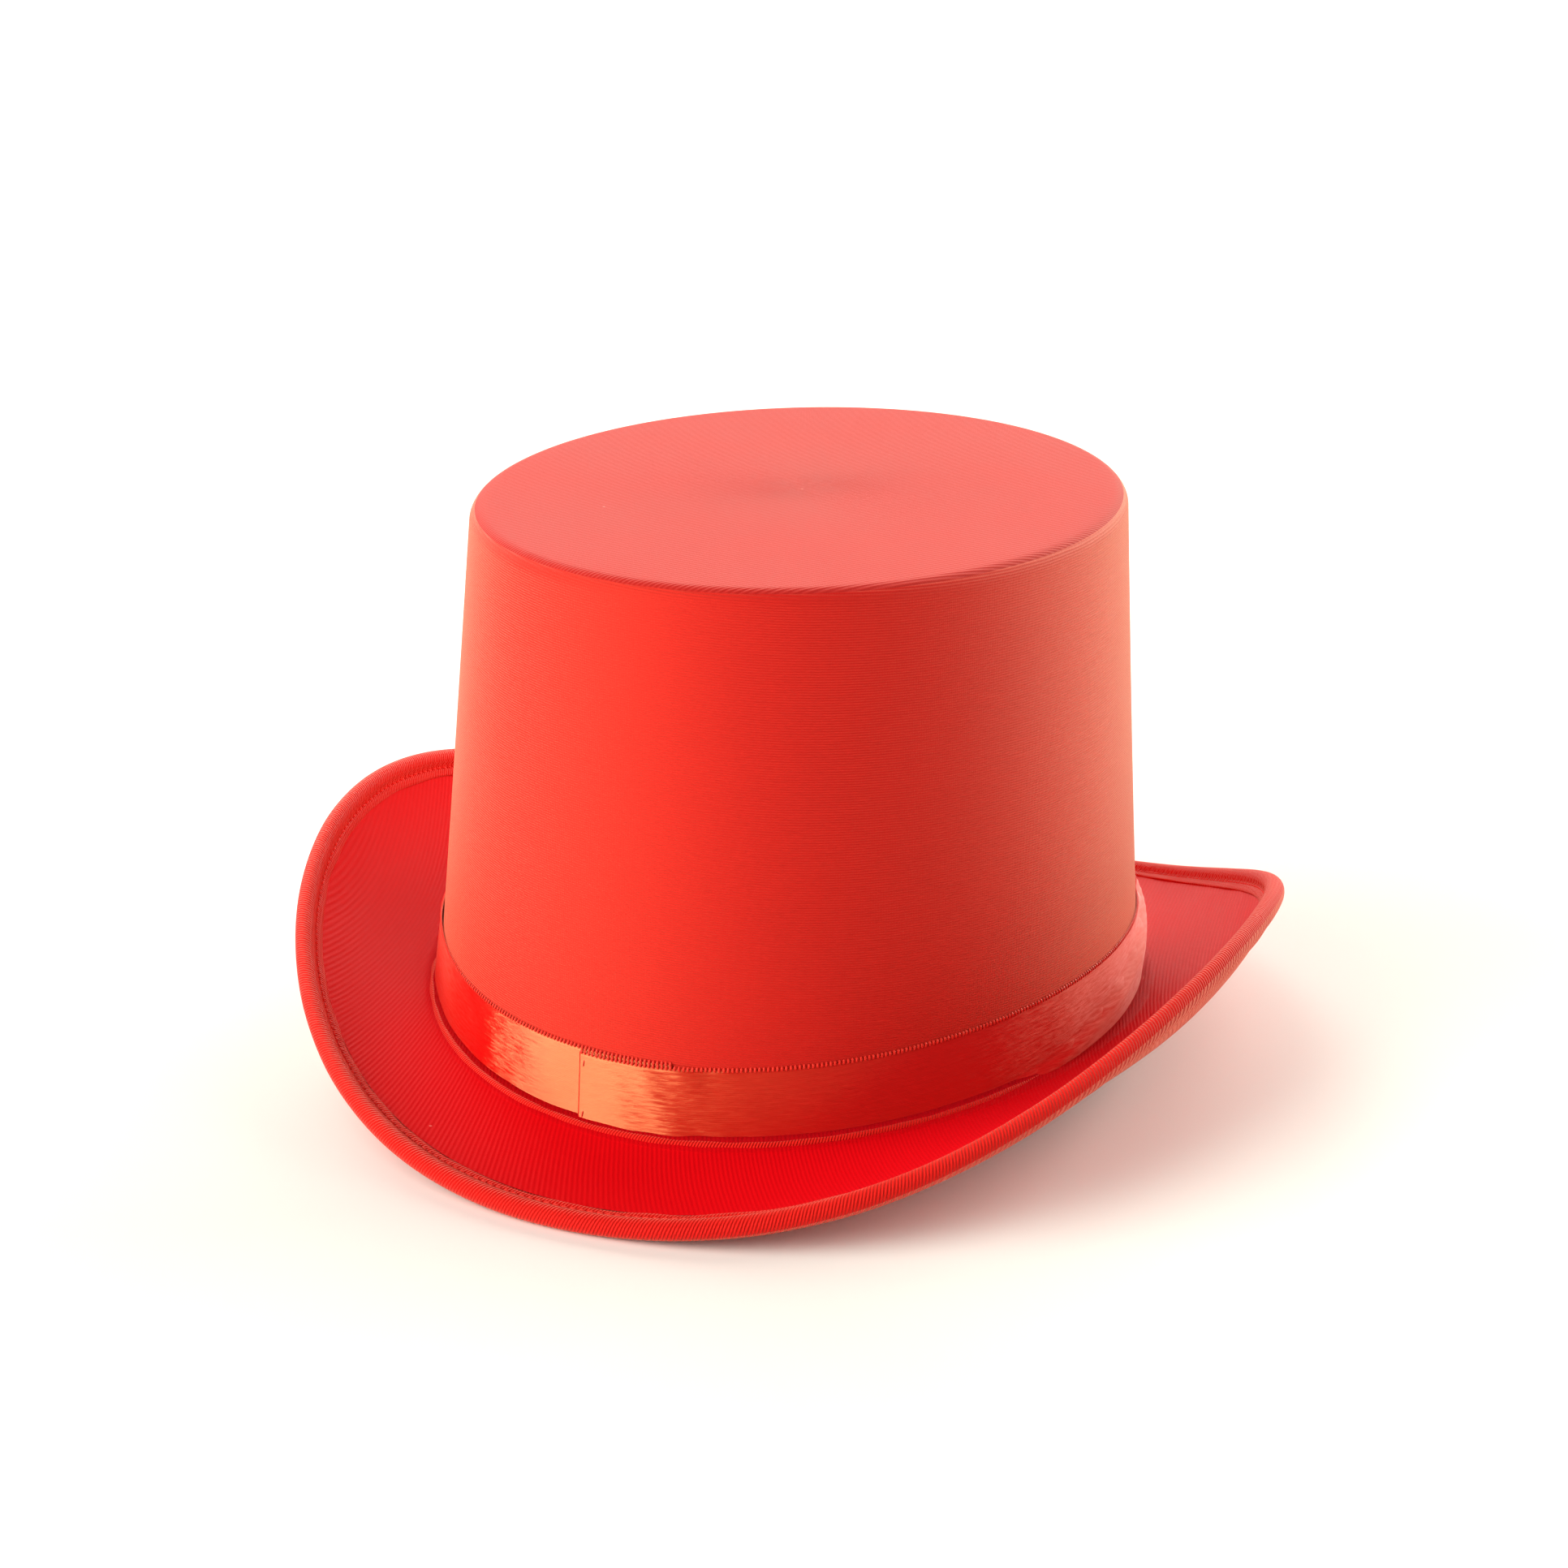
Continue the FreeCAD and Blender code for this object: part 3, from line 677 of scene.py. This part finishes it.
THREAD = plain_cloth("red_thread", (0.80, 0.02, 0.02), (0.96, 0.08, 0.06), 0.30, 0.40, 0.60, 0.04,
                     shine=0.08)
# The selvedge loops are woven from the ribbon's own threads, but they are painted lighter and more orange
# than the ribbon: a painted highlight where they catch the light.
SELVEDGE = plain_cloth("selvedge_thread", (0.78, 0.010, 0.008), (0.95, 0.050, 0.030), 0.30, 0.30, 0.45,
                       0.04, sheen=0.25, shine=0.60)
FELT = plain_cloth("stiff_felt", (0.50, 0.46, 0.38), (0.68, 0.64, 0.56), 1.1, 0.85, 0.95, 0.2)
TAPE = plain_cloth("cotton_tape", (0.36, 0.004, 0.008), (0.50, 0.012, 0.018), 0.5, 0.70, 0.85, 0.1)
LABEL = plain_cloth("blank_label", (0.72, 0.68, 0.60), (0.86, 0.84, 0.78), 0.35, 0.45, 0.60, 0.04)


def grosgrain():
    """Ribbed band with upright cords."""
    cord_pitch_mm = 1.0
    n = Nodes("grosgrain")
    place, _ = n.space()
    along, _ = n.cloth()
    cord = n.wave(along, cord_pitch_mm)
    fuzz = n.noise(place, 2.5, 3, 0.7)
    cloud = n.noise(place, 0.04, 3)
    color = n.between((0.30, 0.002, 0.006), (0.48, 0.006, 0.014), n.blend(cord, cloud, 0.5))
    normal = n.bump(n.math("ADD", cord, n.math("MULTIPLY", fuzz, 0.3)), 0.25, 0.9)
    return n.finish(color, n.span(fuzz, 0.50, 0.68), normal, Sheen_Weight=0.3, Sheen_Roughness=0.4)


GROSGRAIN = grosgrain()


def drawn_metal(name, color_low, color_high, rough):
    """Metal with fine marks drawn out along X."""
    n = Nodes(name)
    _, parts = n.space()
    drawn = n.vector(n.math("MULTIPLY", parts[0], 0.3), n.math("MULTIPLY", parts[1], 4.0), parts[2])
    scratch = n.noise(drawn, 1.0, 4)
    return n.finish(n.between(color_low, color_high, scratch), n.span(scratch, rough, rough + 0.15),
                    n.bump(scratch, 0.02, 0.5), Metallic=1.0)


STEEL = drawn_metal("drawn_steel", (0.42, 0.42, 0.43), (0.60, 0.60, 0.60), 0.30)
ALUMINIUM = drawn_metal("sleeve_aluminium", (0.55, 0.55, 0.57), (0.75, 0.75, 0.76), 0.35)


def dress(piece, material, slot_name, *nodes):
    """Gives a piece its material and its body, and hides the CAD nodes that it stands for. slot_name is not
    used.
    """
    piece.data.materials.clear()
    piece.data.materials.append(material)
    if nodes:
        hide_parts(*nodes)
    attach(piece, "root")
    return piece


# ---------------------------------------------------------------- crown cover
def crown_cover():
    """One satin skin over side and tip, 0.45 mm thick, with a rounded tip corner."""
    angle = round_hat(512)
    side_rows, corner_rows, tip_rows = 44, 12, 40
    thick = 0.45 * MM
    outer_rows = []
    low = foot_height(angle) + 0.2 * MM
    corner_low = TOP - TIP_CORNER
    for share in np.linspace(0, 1, side_rows):
        height = low + (corner_low - low) * share
        swell = 0.18 * MM * ripple(angle, 3, 2, 7) * math.sin(math.pi * share)
        outer_rows.append(crown_point(angle, height, swell))
    corner_x = FOOT_X - SLOPE_X * corner_low - TIP_CORNER
    corner_y = FOOT_Y - SLOPE_Y * corner_low - TIP_CORNER
    for turn in np.linspace(0, math.pi / 2, corner_rows)[1:]:
        reach = TIP_CORNER * math.cos(turn)
        height = corner_low + TIP_CORNER * math.sin(turn)
        outer_rows.append(oval(angle, corner_x + reach, corner_y + reach, height))
    for keep in 1 - np.linspace(0, 0.985, tip_rows)[1:]:
        dome = 0.25 * MM * (1 - keep ** 2)
        outer_rows.append(oval(angle, corner_x * keep, corner_y * keep, TOP + dome))
    outer = np.array(outer_rows)
    across = np.gradient(outer, axis=0)
    along = np.roll(outer, -1, axis=1) - np.roll(outer, 1, axis=1)
    normal = unit(np.cross(along, across))
    inner = (outer - normal * thick)[::3]
    piece = closed_band("crown_cover_satin", [inner[::-1], outer], outer[0], capped=True)
    dress(piece, SIDE_SATIN, "cover_satin", "crown_cover")
    piece.data.materials.append(TIP_SATIN)
    centres = np.empty(len(piece.data.polygons) * 3)
    piece.data.polygons.foreach_get("center", centres)
    on_tip = centres.reshape(-1, 3)[:, 2] > TOP - 0.9 * MM
    piece.data.polygons.foreach_set("material_index", on_tip.astype(np.int32))


crown_cover()


# ---------------------------------------------------------------- brim covers
def brim_cover(name, side, material, node):
    """Satin on one face of the brim: side is 1 above and -1 below."""
    angle = round_hat(960)
    thick = 0.35 * MM
    outer_level = HALF_BRIM * side
    inner_level = (HALF_BRIM - thick) * side
    # The upper cloth's flat part starts at the welt.
    first = 0.085 if side > 0 else 0.0
    last = float(place_from_edge(angle, 3.0 * MM * np.ones_like(angle)).min())
    places = np.linspace(first, last, 44)
    grid_angle, grid_place = np.meshgrid(angle, places)
    wave = 0.10 * MM * ripple(grid_angle, 11 + side, 5, 15) * np.sin(np.pi * np.clip(grid_place / 0.8, 0, 1))
    face = brim_point(grid_angle, grid_place, outer_level + wave * side)
    back = brim_point(grid_angle, grid_place, np.full_like(grid_place, inner_level))[::6]
    root = []
    if side > 0:
        # The cloth turns up at the crown over a low rounded welt, just below the ribbon.
        level = foot_height(angle)
        root.append(crown_point(angle, level + 2.4 * MM, 0.10 * MM))
        root.append(crown_point(angle, level + 0.9 * MM, 0.15 * MM))
        welt = 1.05 * MM * (1 + 0.05 * ripple(angle, 17, 10, 60))
        middle = 1.5 * MM * (1 + 0.03 * ripple(angle, 18, 6, 30))
        middle_height = level + leave_slope(angle) * middle + 0.40 * MM
        for turn in np.radians([165, 140, 115, 90, 65, 40, 15, -10, -30]):
            height = middle_height + welt * math.sin(turn)
            root.append(crown_point(angle, height, middle + welt * math.cos(turn)))
    else:
        point = base_point(angle, 2.1 * MM)
        point[..., 2] -= HALF_BRIM
        root.append(point)
    piece = closed_band(name, [root, face, back[::-1]], face[20])
    dress(piece, material, "brim_satin", node)
    if side > 0:
        # The welt is the brim's own cloth. It takes the binding's satin for its slanting ribs, and for its
        # lighter colour, which is a painted highlight along the welt's ridge.
        piece.data.materials.append(BINDING_SATIN)
        on_welt = np.arange(len(piece.data.polygons)) < len(angle) * (len(root) - 1)
        piece.data.polygons.foreach_set("material_index", on_welt.astype(np.int32))


brim_cover("brim_satin_upper", 1, BRIM_SATIN, "brim_top_cover")
brim_cover("brim_satin_lower", -1, UNDER_SATIN, "brim_under_cover")


# ---------------------------------------------------------------- edge binding and its seam
STITCH_PITCH = 2.25 * MM
EDGE_RUN, EDGE_GIRTH = girth(edge_point(round_hat(4096)))
STITCHES = int(round(EDGE_GIRTH / STITCH_PITCH))


def angles_at(runs):
    """Directions at the given lengths along the brim's edge."""
    known = np.append(EDGE_RUN, EDGE_GIRTH)
    return np.interp(runs, known, np.linspace(0, TAU, len(known)))


def edge_binding():
    """The satin strip over the edge: flange, roll, flange, drawn in a little at each stitch."""
    columns_per_stitch = 5
    columns = STITCHES * columns_per_stitch
    runs = np.arange(columns) * EDGE_GIRTH / columns
    angle = angles_at(runs)
    pull = (0.5 + 0.5 * np.cos(TAU * runs * STITCHES / EDGE_GIRTH)) ** 2
    slack = ripple(angle, 21, 20, 60)
    one = np.ones_like(angle)

    def flange(side):
        """Rows from the flange's inner edge to the seam. Reach is how far inside the roll's centre, in
        millimetres, and level is how many cloths above the brim."""
        rows = []
        for reach, level in ((5.30, 0.10), (5.28, 0.75), (5.12, 1.05), (4.70, 1.15), (4.20, 1.10),
                             (3.70, 1.02), (3.20, 0.85), (2.85, 0.45), (2.62, 0.35), (2.40, 0.60)):
            near = math.exp(-((reach - 2.70) / 0.45) ** 2)
            tuck = 0.9 * MM * bump_at(angle, -math.pi / 2, 0.9) * smooth_step(3.2, 5.2, reach)
            lift = HALF_BRIM + BINDING * level - 0.16 * MM * near * pull
            lift = lift + 0.10 * MM * slack * (reach > 3.5)
            shift = 0.10 * MM * slack * smooth_step(4.0, 5.2, reach)
            rows.append(brim_point(angle, place_from_edge(angle, reach * MM + shift - tuck), side * lift))
        return rows

    roll_start = math.radians(139)
    roll = []
    for turn in np.linspace(roll_start, -roll_start, 21):
        near = smooth_step(0.65, 1.0, abs(turn) / roll_start)
        radius = ROLL * (1 + 0.010 * ripple(angle, 31, 8, 40)) - (0.20 * near) * MM * pull - 0.05 * MM * near
        roll.append(roll_point(angle, turn * one, radius))
    inner = [brim_point(angle, place_from_edge(angle, reach * MM * one), level * one) for reach, level in
             ((5.25, -HALF_BRIM), (1.2, -HALF_BRIM), (1.2, HALF_BRIM), (5.25, HALF_BRIM))]
    upper = flange(1)
    lower = flange(-1)
    points = np.array(upper + roll + lower[::-1] + inner)
    cloth = {"u": np.broadcast_to(runs, points.shape[:2]), "v": climb(points), "period": EDGE_GIRTH}
    piece = grid_piece("edge_binding_satin", points, cloth, close_rows=True)
    face_outward(piece)
    dress(piece, BINDING_SATIN, "binding_satin", "brim_binding")
    # On the roll's lower side and the lower flange the ribs of the cloth stand out.
    piece.data.materials.append(UNDER_SATIN)
    row = np.arange(len(piece.data.polygons)) // columns
    first_ribbed = len(upper) + 13
    past_ribbed = len(upper) + len(roll) + len(lower)
    ribbed = (row >= first_ribbed) & (row < past_ribbed)
    piece.data.polygons.foreach_set("material_index", ribbed.astype(np.int32))


edge_binding()


def seam(name, side, length, radius):
    """One row of the binding's stitches, a short thread for each, a little uneven."""
    middles = (np.arange(STITCHES) + 0.5) * EDGE_GIRTH / STITCHES
    jitter = rng.uniform(-0.06, 0.06, STITCHES) * MM
    starts = angles_at(middles - length / 2 + jitter)
    ends = angles_at(middles + length / 2 + jitter)
    lean = rng.uniform(0.10, 0.20, STITCHES) * MM
    level = side * (HALF_BRIM + 0.55 * BINDING) * np.ones(STITCHES)
    first = brim_point(starts, place_from_edge(starts, STITCH_REACH + lean), level)
    last = brim_point(ends, place_from_edge(ends, STITCH_REACH - lean), level)
    middle = angles_at(middles)
    normals = brim_normal(middle, place_from_edge(middle, STITCH_REACH * np.ones(STITCHES))) * side
    piece = capsules(name, first, last, normals, radius)
    dress(piece, THREAD, "red_thread", "binding_topstitch")


seam("binding_stitches_upper", 1, 1.75 * MM, 0.20 * MM)
seam("binding_stitches_lower", -1, 1.60 * MM, 0.22 * MM)


# ---------------------------------------------------------------- ribbon
def ribbon_path(count):
    """The strip from its upper end, once round the crown and on under itself. Gives the running
    lengths, the whole length, the directions, the outward distances and the upward shifts."""
    run, whole = girth(crown_point(round_hat(2048), GIRTH_HEIGHT, 0.4 * MM))
    length = whole + RIBBON_LAP
    runs = np.linspace(0, length, count)
    known = np.append(run, whole)
    known_angle = np.linspace(0, TAU, len(known))
    origin = np.interp(RIBBON_END, known_angle, known)
    angle = np.interp((origin + runs) % whole, known, known_angle)
    over = 1 - smooth_step(RIBBON_LAP, RIBBON_LAP + 9 * MM, runs)
    out = 0.12 * MM + 0.50 * MM * over
    # The upper end hangs a little low, and the strip climbs as it comes round to go under it.
    shift = -0.45 * MM * (1 - smooth_step(0, 60 * MM, runs))
    shift = shift + 0.40 * MM * smooth_step(whole - 40 * MM, whole, runs)
    return runs, length, angle, out, shift


def ribbon_point(angle, share, out, shift, runs):
    """A point on the ribbon's face: share is 0 at the lower edge and 1 at the upper one."""
    height = foot_height(angle) + RIBBON_CLEAR + RIBBON_WIDTH * share + shift
    belly = np.sin(math.pi * np.clip(share, 0, 1))
    lift = 0.12 * MM * belly
    # It stands off a little on the wearer's right.
    lift = lift + 1.10 * MM * bump_at(angle, math.radians(205), 0.18) * (0.35 + 0.65 * (1 - share))
    # On the wearer's left side a soft crease climbs across the ribbon, and its lower edge stands off.
    past = turn_gap(angle, math.radians(329) + 1.08 * share)
    lift = lift + 2.2 * MM * smooth_step(-0.04, 0.09, past) * np.exp(-np.clip(past / 0.55, 0, 4) ** 2)
    lift = lift + 0.6 * MM * bump_at(angle, math.radians(4), 0.42) * (1 - share)
    lift = lift + 0.10 * MM * ripple(angle, 41, 6, 30) * belly
    # Faint waves where the end is tacked down.
    waves = np.sin(TAU * runs / (11 * MM) + 5 * share)
    lift = lift + 0.07 * MM * waves * bump_at(angle, math.radians(275), 0.22)
    return crown_point(angle, height, out + lift)


def ribbon_strip():
    """The ribbon itself, 0.28 mm thick, and its length."""
    columns = 1400
    runs, length, angle, out, shift = ribbon_path(columns)
    shares = np.linspace(0.02, 0.98, 22)
    thick = 0.28 * MM
    face = np.array([ribbon_point(angle, share, out + thick, shift, runs) for share in shares])
    back = np.array([ribbon_point(angle, share, out, shift, runs) for share in shares[::3]])
    points = np.vstack([face, back[::-1]])
    v = np.concatenate([shares, shares[::3][::-1]])[:, None] * RIBBON_WIDTH * np.ones(columns)
    cloth = {"u": np.broadcast_to(runs, points.shape[:2]), "v": v, "period": 0}
    piece = grid_piece("ribbon_band_satin", points, cloth, close_rows=True, close_columns=False)
    face_outward(piece, fill_holes=True)
    return dress(piece, RIBBON_SATIN, "ribbon_satin", "hat_ribbon"), length


ribbon, RIBBON_LENGTH = ribbon_strip()


def selvedge(name, share):
    """The looped woven edge of the ribbon: a row of short upright loops."""
    pitch = 1.05 * MM
    runs, length, angle, out, shift = ribbon_path(6000)
    count = int(length / pitch)
    at = (np.arange(count) + 0.5) * length / count + rng.uniform(-0.05, 0.05, count) * MM
    here = np.interp(at, runs, np.unwrap(angle))
    level = np.interp(at, runs, out) + 0.30 * MM
    rise = np.interp(at, runs, shift)
    reach = 0.62 * MM / RIBBON_WIDTH
    low = ribbon_point(here, share - reach, level, rise, at)
    high = ribbon_point(here, share + reach, level, rise, at)
    normal = unit(oval(here, 1 / FOOT_X, 1 / FOOT_Y, 0.0))
    piece = capsules(name, low, high, normal, 0.32 * MM, depth=0.4)
    return dress(piece, SELVEDGE, "ribbon_satin")


selvedges = [selvedge("ribbon_selvedge_lower", 0.015), selvedge("ribbon_selvedge_upper", 0.985)]


def ribbon_tacks():
    """The two short stitches that hold the ribbon's upper end."""
    end = np.array([RIBBON_END + 0.012] * 2)
    shares = np.array([0.16, 0.84])
    runs = np.full(2, 1.5 * MM)
    out = np.full(2, 0.95 * MM)
    shift = np.full(2, -0.5 * MM)
    low = ribbon_point(end, shares - 0.05, out, shift, runs)
    high = ribbon_point(end + 0.004, shares + 0.05, out, shift, runs)
    normal = oval(end, 1.0, 1.0, 0.0)
    piece = capsules("ribbon_tack_stitches", low, high, normal, 0.16 * MM)
    return dress(piece, THREAD, "red_thread", "ribbon_tacks")


selvedges + [ribbon_tacks()]


# ---------------------------------------------------------------- inside
def sweatband():
    """Ribbed band round the head opening, from just below the crown's foot."""
    depth, thick = 3.35 * MM, 0.8 * MM
    low, high = -2.2 * MM, 28.0 * MM
    angle = round_hat(720)
    face = []
    back = []
    for share in np.linspace(0, 1, 14):
        height = foot_height(angle) + low + (high - low) * share
        wave = 0.20 * MM * ripple(angle, 51, 5, 24) * share ** 2
        face.append(crown_point(angle, height, -depth - thick + wave))
        back.append(crown_point(angle, height, -depth))
    piece = closed_band("sweatband_grosgrain", [face, back[::-1]], face[0])
    dress(piece, GROSGRAIN, "sweatband_cloth", "sweatband")
    _, whole = girth(crown_point(angle, GIRTH_HEIGHT, -depth))


sweatband()


def lining_side():
    """Side lining, gathered in soft upright folds towards the tip."""
    fold_count = 46
    angle = round_hat(900)
    low = foot_height(angle) + 1.2 * MM
    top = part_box("side_lining")[1].z
    folds = 0.5 - 0.5 * np.cos(fold_count * angle + 1.5 * ripple(angle, 61, 2, 9))
    face = []
    back = []
    for share in np.linspace(0, 1, 30):
        height = low + (top - low) * share
        uneven = 0.7 + 0.3 * ripple(angle, 62, 3, 12)
        fold_height = 1.1 * MM * smooth_step(0.25, 1.0, share) * folds * uneven
        slack = 0.35 * MM * (1 + ripple(angle, 63, 3, 11)) * math.sin(math.pi * share)
        face.append(crown_point(angle, height, -LINING_DEPTH - 0.3 * MM - slack - fold_height))
        back.append(crown_point(angle, height, -LINING_DEPTH))
    piece = closed_band("side_lining_satin", [face, back[::-3]], face[0])
    dress(piece, LINING_SATIN, "lining_satin", "side_lining")


lining_side()


def lining_tip():
    """Tip lining: an oval of satin, drawn in by small radial tucks at its seam."""
    tuck_count = 60
    angle = round_hat(720)
    tucks = 0.5 - 0.5 * np.cos(tuck_count * angle + ripple(angle, 71, 2, 9))
    face = []
    back = []
    for keep in np.linspace(1.0, 0.02, 44):
        half_x = LINING_HIGH.x * keep
        half_y = LINING_HIGH.y * keep
        drop = 0.9 * MM * smooth_step(0.72, 1.0, keep) * tucks + 1.6 * MM * (1 - keep ** 2)
        drop = drop + 0.25 * MM * ripple(angle, 72, 2, 6) * keep * (1 - keep) * 4
        face.append(oval(angle, half_x, half_y, LINING_LOW.z - drop))
        back.append(oval(angle, half_x, half_y, LINING_HIGH.z - 0.02 * MM))
    piece = closed_band("tip_lining_satin", [face[::-1], back[::2]], face[0], capped=True)
    dress(piece, LINING_SATIN, "lining_satin", "tip_lining")


lining_tip()

# The inner pieces that CAD shapes well enough only get their materials.
INNER_MATERIALS = {
    "crown_shell": FELT,
    "brim_core": FELT,
    "brim_wire": STEEL,
    "wire_sleeve": ALUMINIUM,
    "headsize_tape": TAPE,
    "headsize_seam": THREAD,
    "sweatband_seam": THREAD,
    "sweatband_join_tape": TAPE,
    "care_label": LABEL,
    "label_stitching": THREAD,
    "lining_seam": TAPE,
}
for node, material in INNER_MATERIALS.items():
    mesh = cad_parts[node].data
    mesh.materials.clear()
    mesh.materials.append(material)

# ---------------------------------------------------------------- floor, light and camera
floor_mesh = bpy.data.meshes.new("floor")
shape = bmesh.new()
bmesh.ops.create_grid(shape, x_segments=1, y_segments=1, size=6.0)
shape.to_mesh(floor_mesh)
shape.free()
floor = bpy.data.objects.new("floor", floor_mesh)
bpy.context.scene.collection.objects.link(floor)
floor_nodes = Nodes("pale_floor")
floor_place, _ = floor_nodes.space()
floor_grain = floor_nodes.noise(floor_place, 0.01, 2)
floor_nodes.finish(floor_nodes.between((0.94, 0.94, 0.94), (0.96, 0.96, 0.96), floor_grain),
                   floor_nodes.span(floor_grain, 0.75, 0.85), floor_nodes.bump(floor_grain, 0.1, 0.1))
floor.data.materials.append(floor_nodes.material)

world = bpy.data.worlds.new("studio")
bpy.context.scene.world = world
world.use_nodes = True
world.node_tree.nodes["Background"].inputs["Color"].default_value = (1, 1, 1, 1)
world.node_tree.nodes["Background"].inputs["Strength"].default_value = 0.10


def add_light(name, kind, power, direction, height, distance=0.0):
    """A light that faces the hat from a direction round it and a height above the floor, in degrees."""
    data = bpy.data.lights.new(name, kind)
    data.energy = power
    data.color = (1.0, 0.95, 0.84)
    light = bpy.data.objects.new(name, data)
    turn, rise = math.radians(direction), math.radians(height)
    towards = Vector((math.cos(turn) * math.cos(rise), math.sin(turn) * math.cos(rise), math.sin(rise)))
    light.location = towards * distance
    light.rotation_euler = towards.to_track_quat("Z", "Y").to_euler()
    bpy.context.scene.collection.objects.link(light)
    return data


# The camera looks from the front, a little from the wearer's left. The two offsets are pixels of the
# full image that the aim point lies from its middle.
CAMERA_AZIMUTH = math.radians(22.1)
CAMERA_ELEVATION = math.radians(19.1)
CAMERA_ROLL = math.radians(1.5)
CAMERA_DISTANCE = 0.835
AIM_HEIGHT = 0.0615
LENS = 74.3
SENSOR = 36.0
IMAGE_PX = 1932
AIM_RIGHT_PX = 16.3
AIM_DOWN_PX = 10.6

back = Vector((math.sin(CAMERA_AZIMUTH) * math.cos(CAMERA_ELEVATION),
               -math.cos(CAMERA_AZIMUTH) * math.cos(CAMERA_ELEVATION), math.sin(CAMERA_ELEVATION)))
level_right = Vector((math.cos(CAMERA_AZIMUTH), math.sin(CAMERA_AZIMUTH), 0))
level_up = back.cross(level_right)
right = level_right * math.cos(CAMERA_ROLL) + level_up * math.sin(CAMERA_ROLL)
up = level_up * math.cos(CAMERA_ROLL) - level_right * math.sin(CAMERA_ROLL)
pixel = CAMERA_DISTANCE * SENSOR / LENS / IMAGE_PX
place = Vector((0, 0, AIM_HEIGHT)) + back * CAMERA_DISTANCE
place = place - right * (AIM_RIGHT_PX * pixel) + up * (AIM_DOWN_PX * pixel)
camera_data = bpy.data.cameras.new("camera")
camera_data.lens = LENS
camera_data.sensor_width = SENSOR
camera = bpy.data.objects.new("camera", camera_data)
camera.matrix_world = Matrix((right, up, back)).transposed().to_4x4()
camera.location = place
bpy.context.scene.collection.objects.link(camera)
bpy.context.scene.camera = camera

# Wide far lights from behind and above, each with its spread in degrees, and one large soft box.
for name, direction, height, spread, power in (("right_light", 53, 20, 36, 2.8),
                                               ("back_light", 90, 22, 40, 2.0),
                                               ("left_back_light", 130, 22, 40, 1.9),
                                               ("high_light", -140, 55, 50, 0.9)):
    add_light(name, "SUN", power, direction, height).angle = math.radians(spread)
key = add_light("key_light", "AREA", 540, -135, 22, distance=6.0)
key.shape = "RECTANGLE"
key.size = 6.8
key.size_y = 4.4
bpy.context.scene.view_settings.view_transform = "Standard"
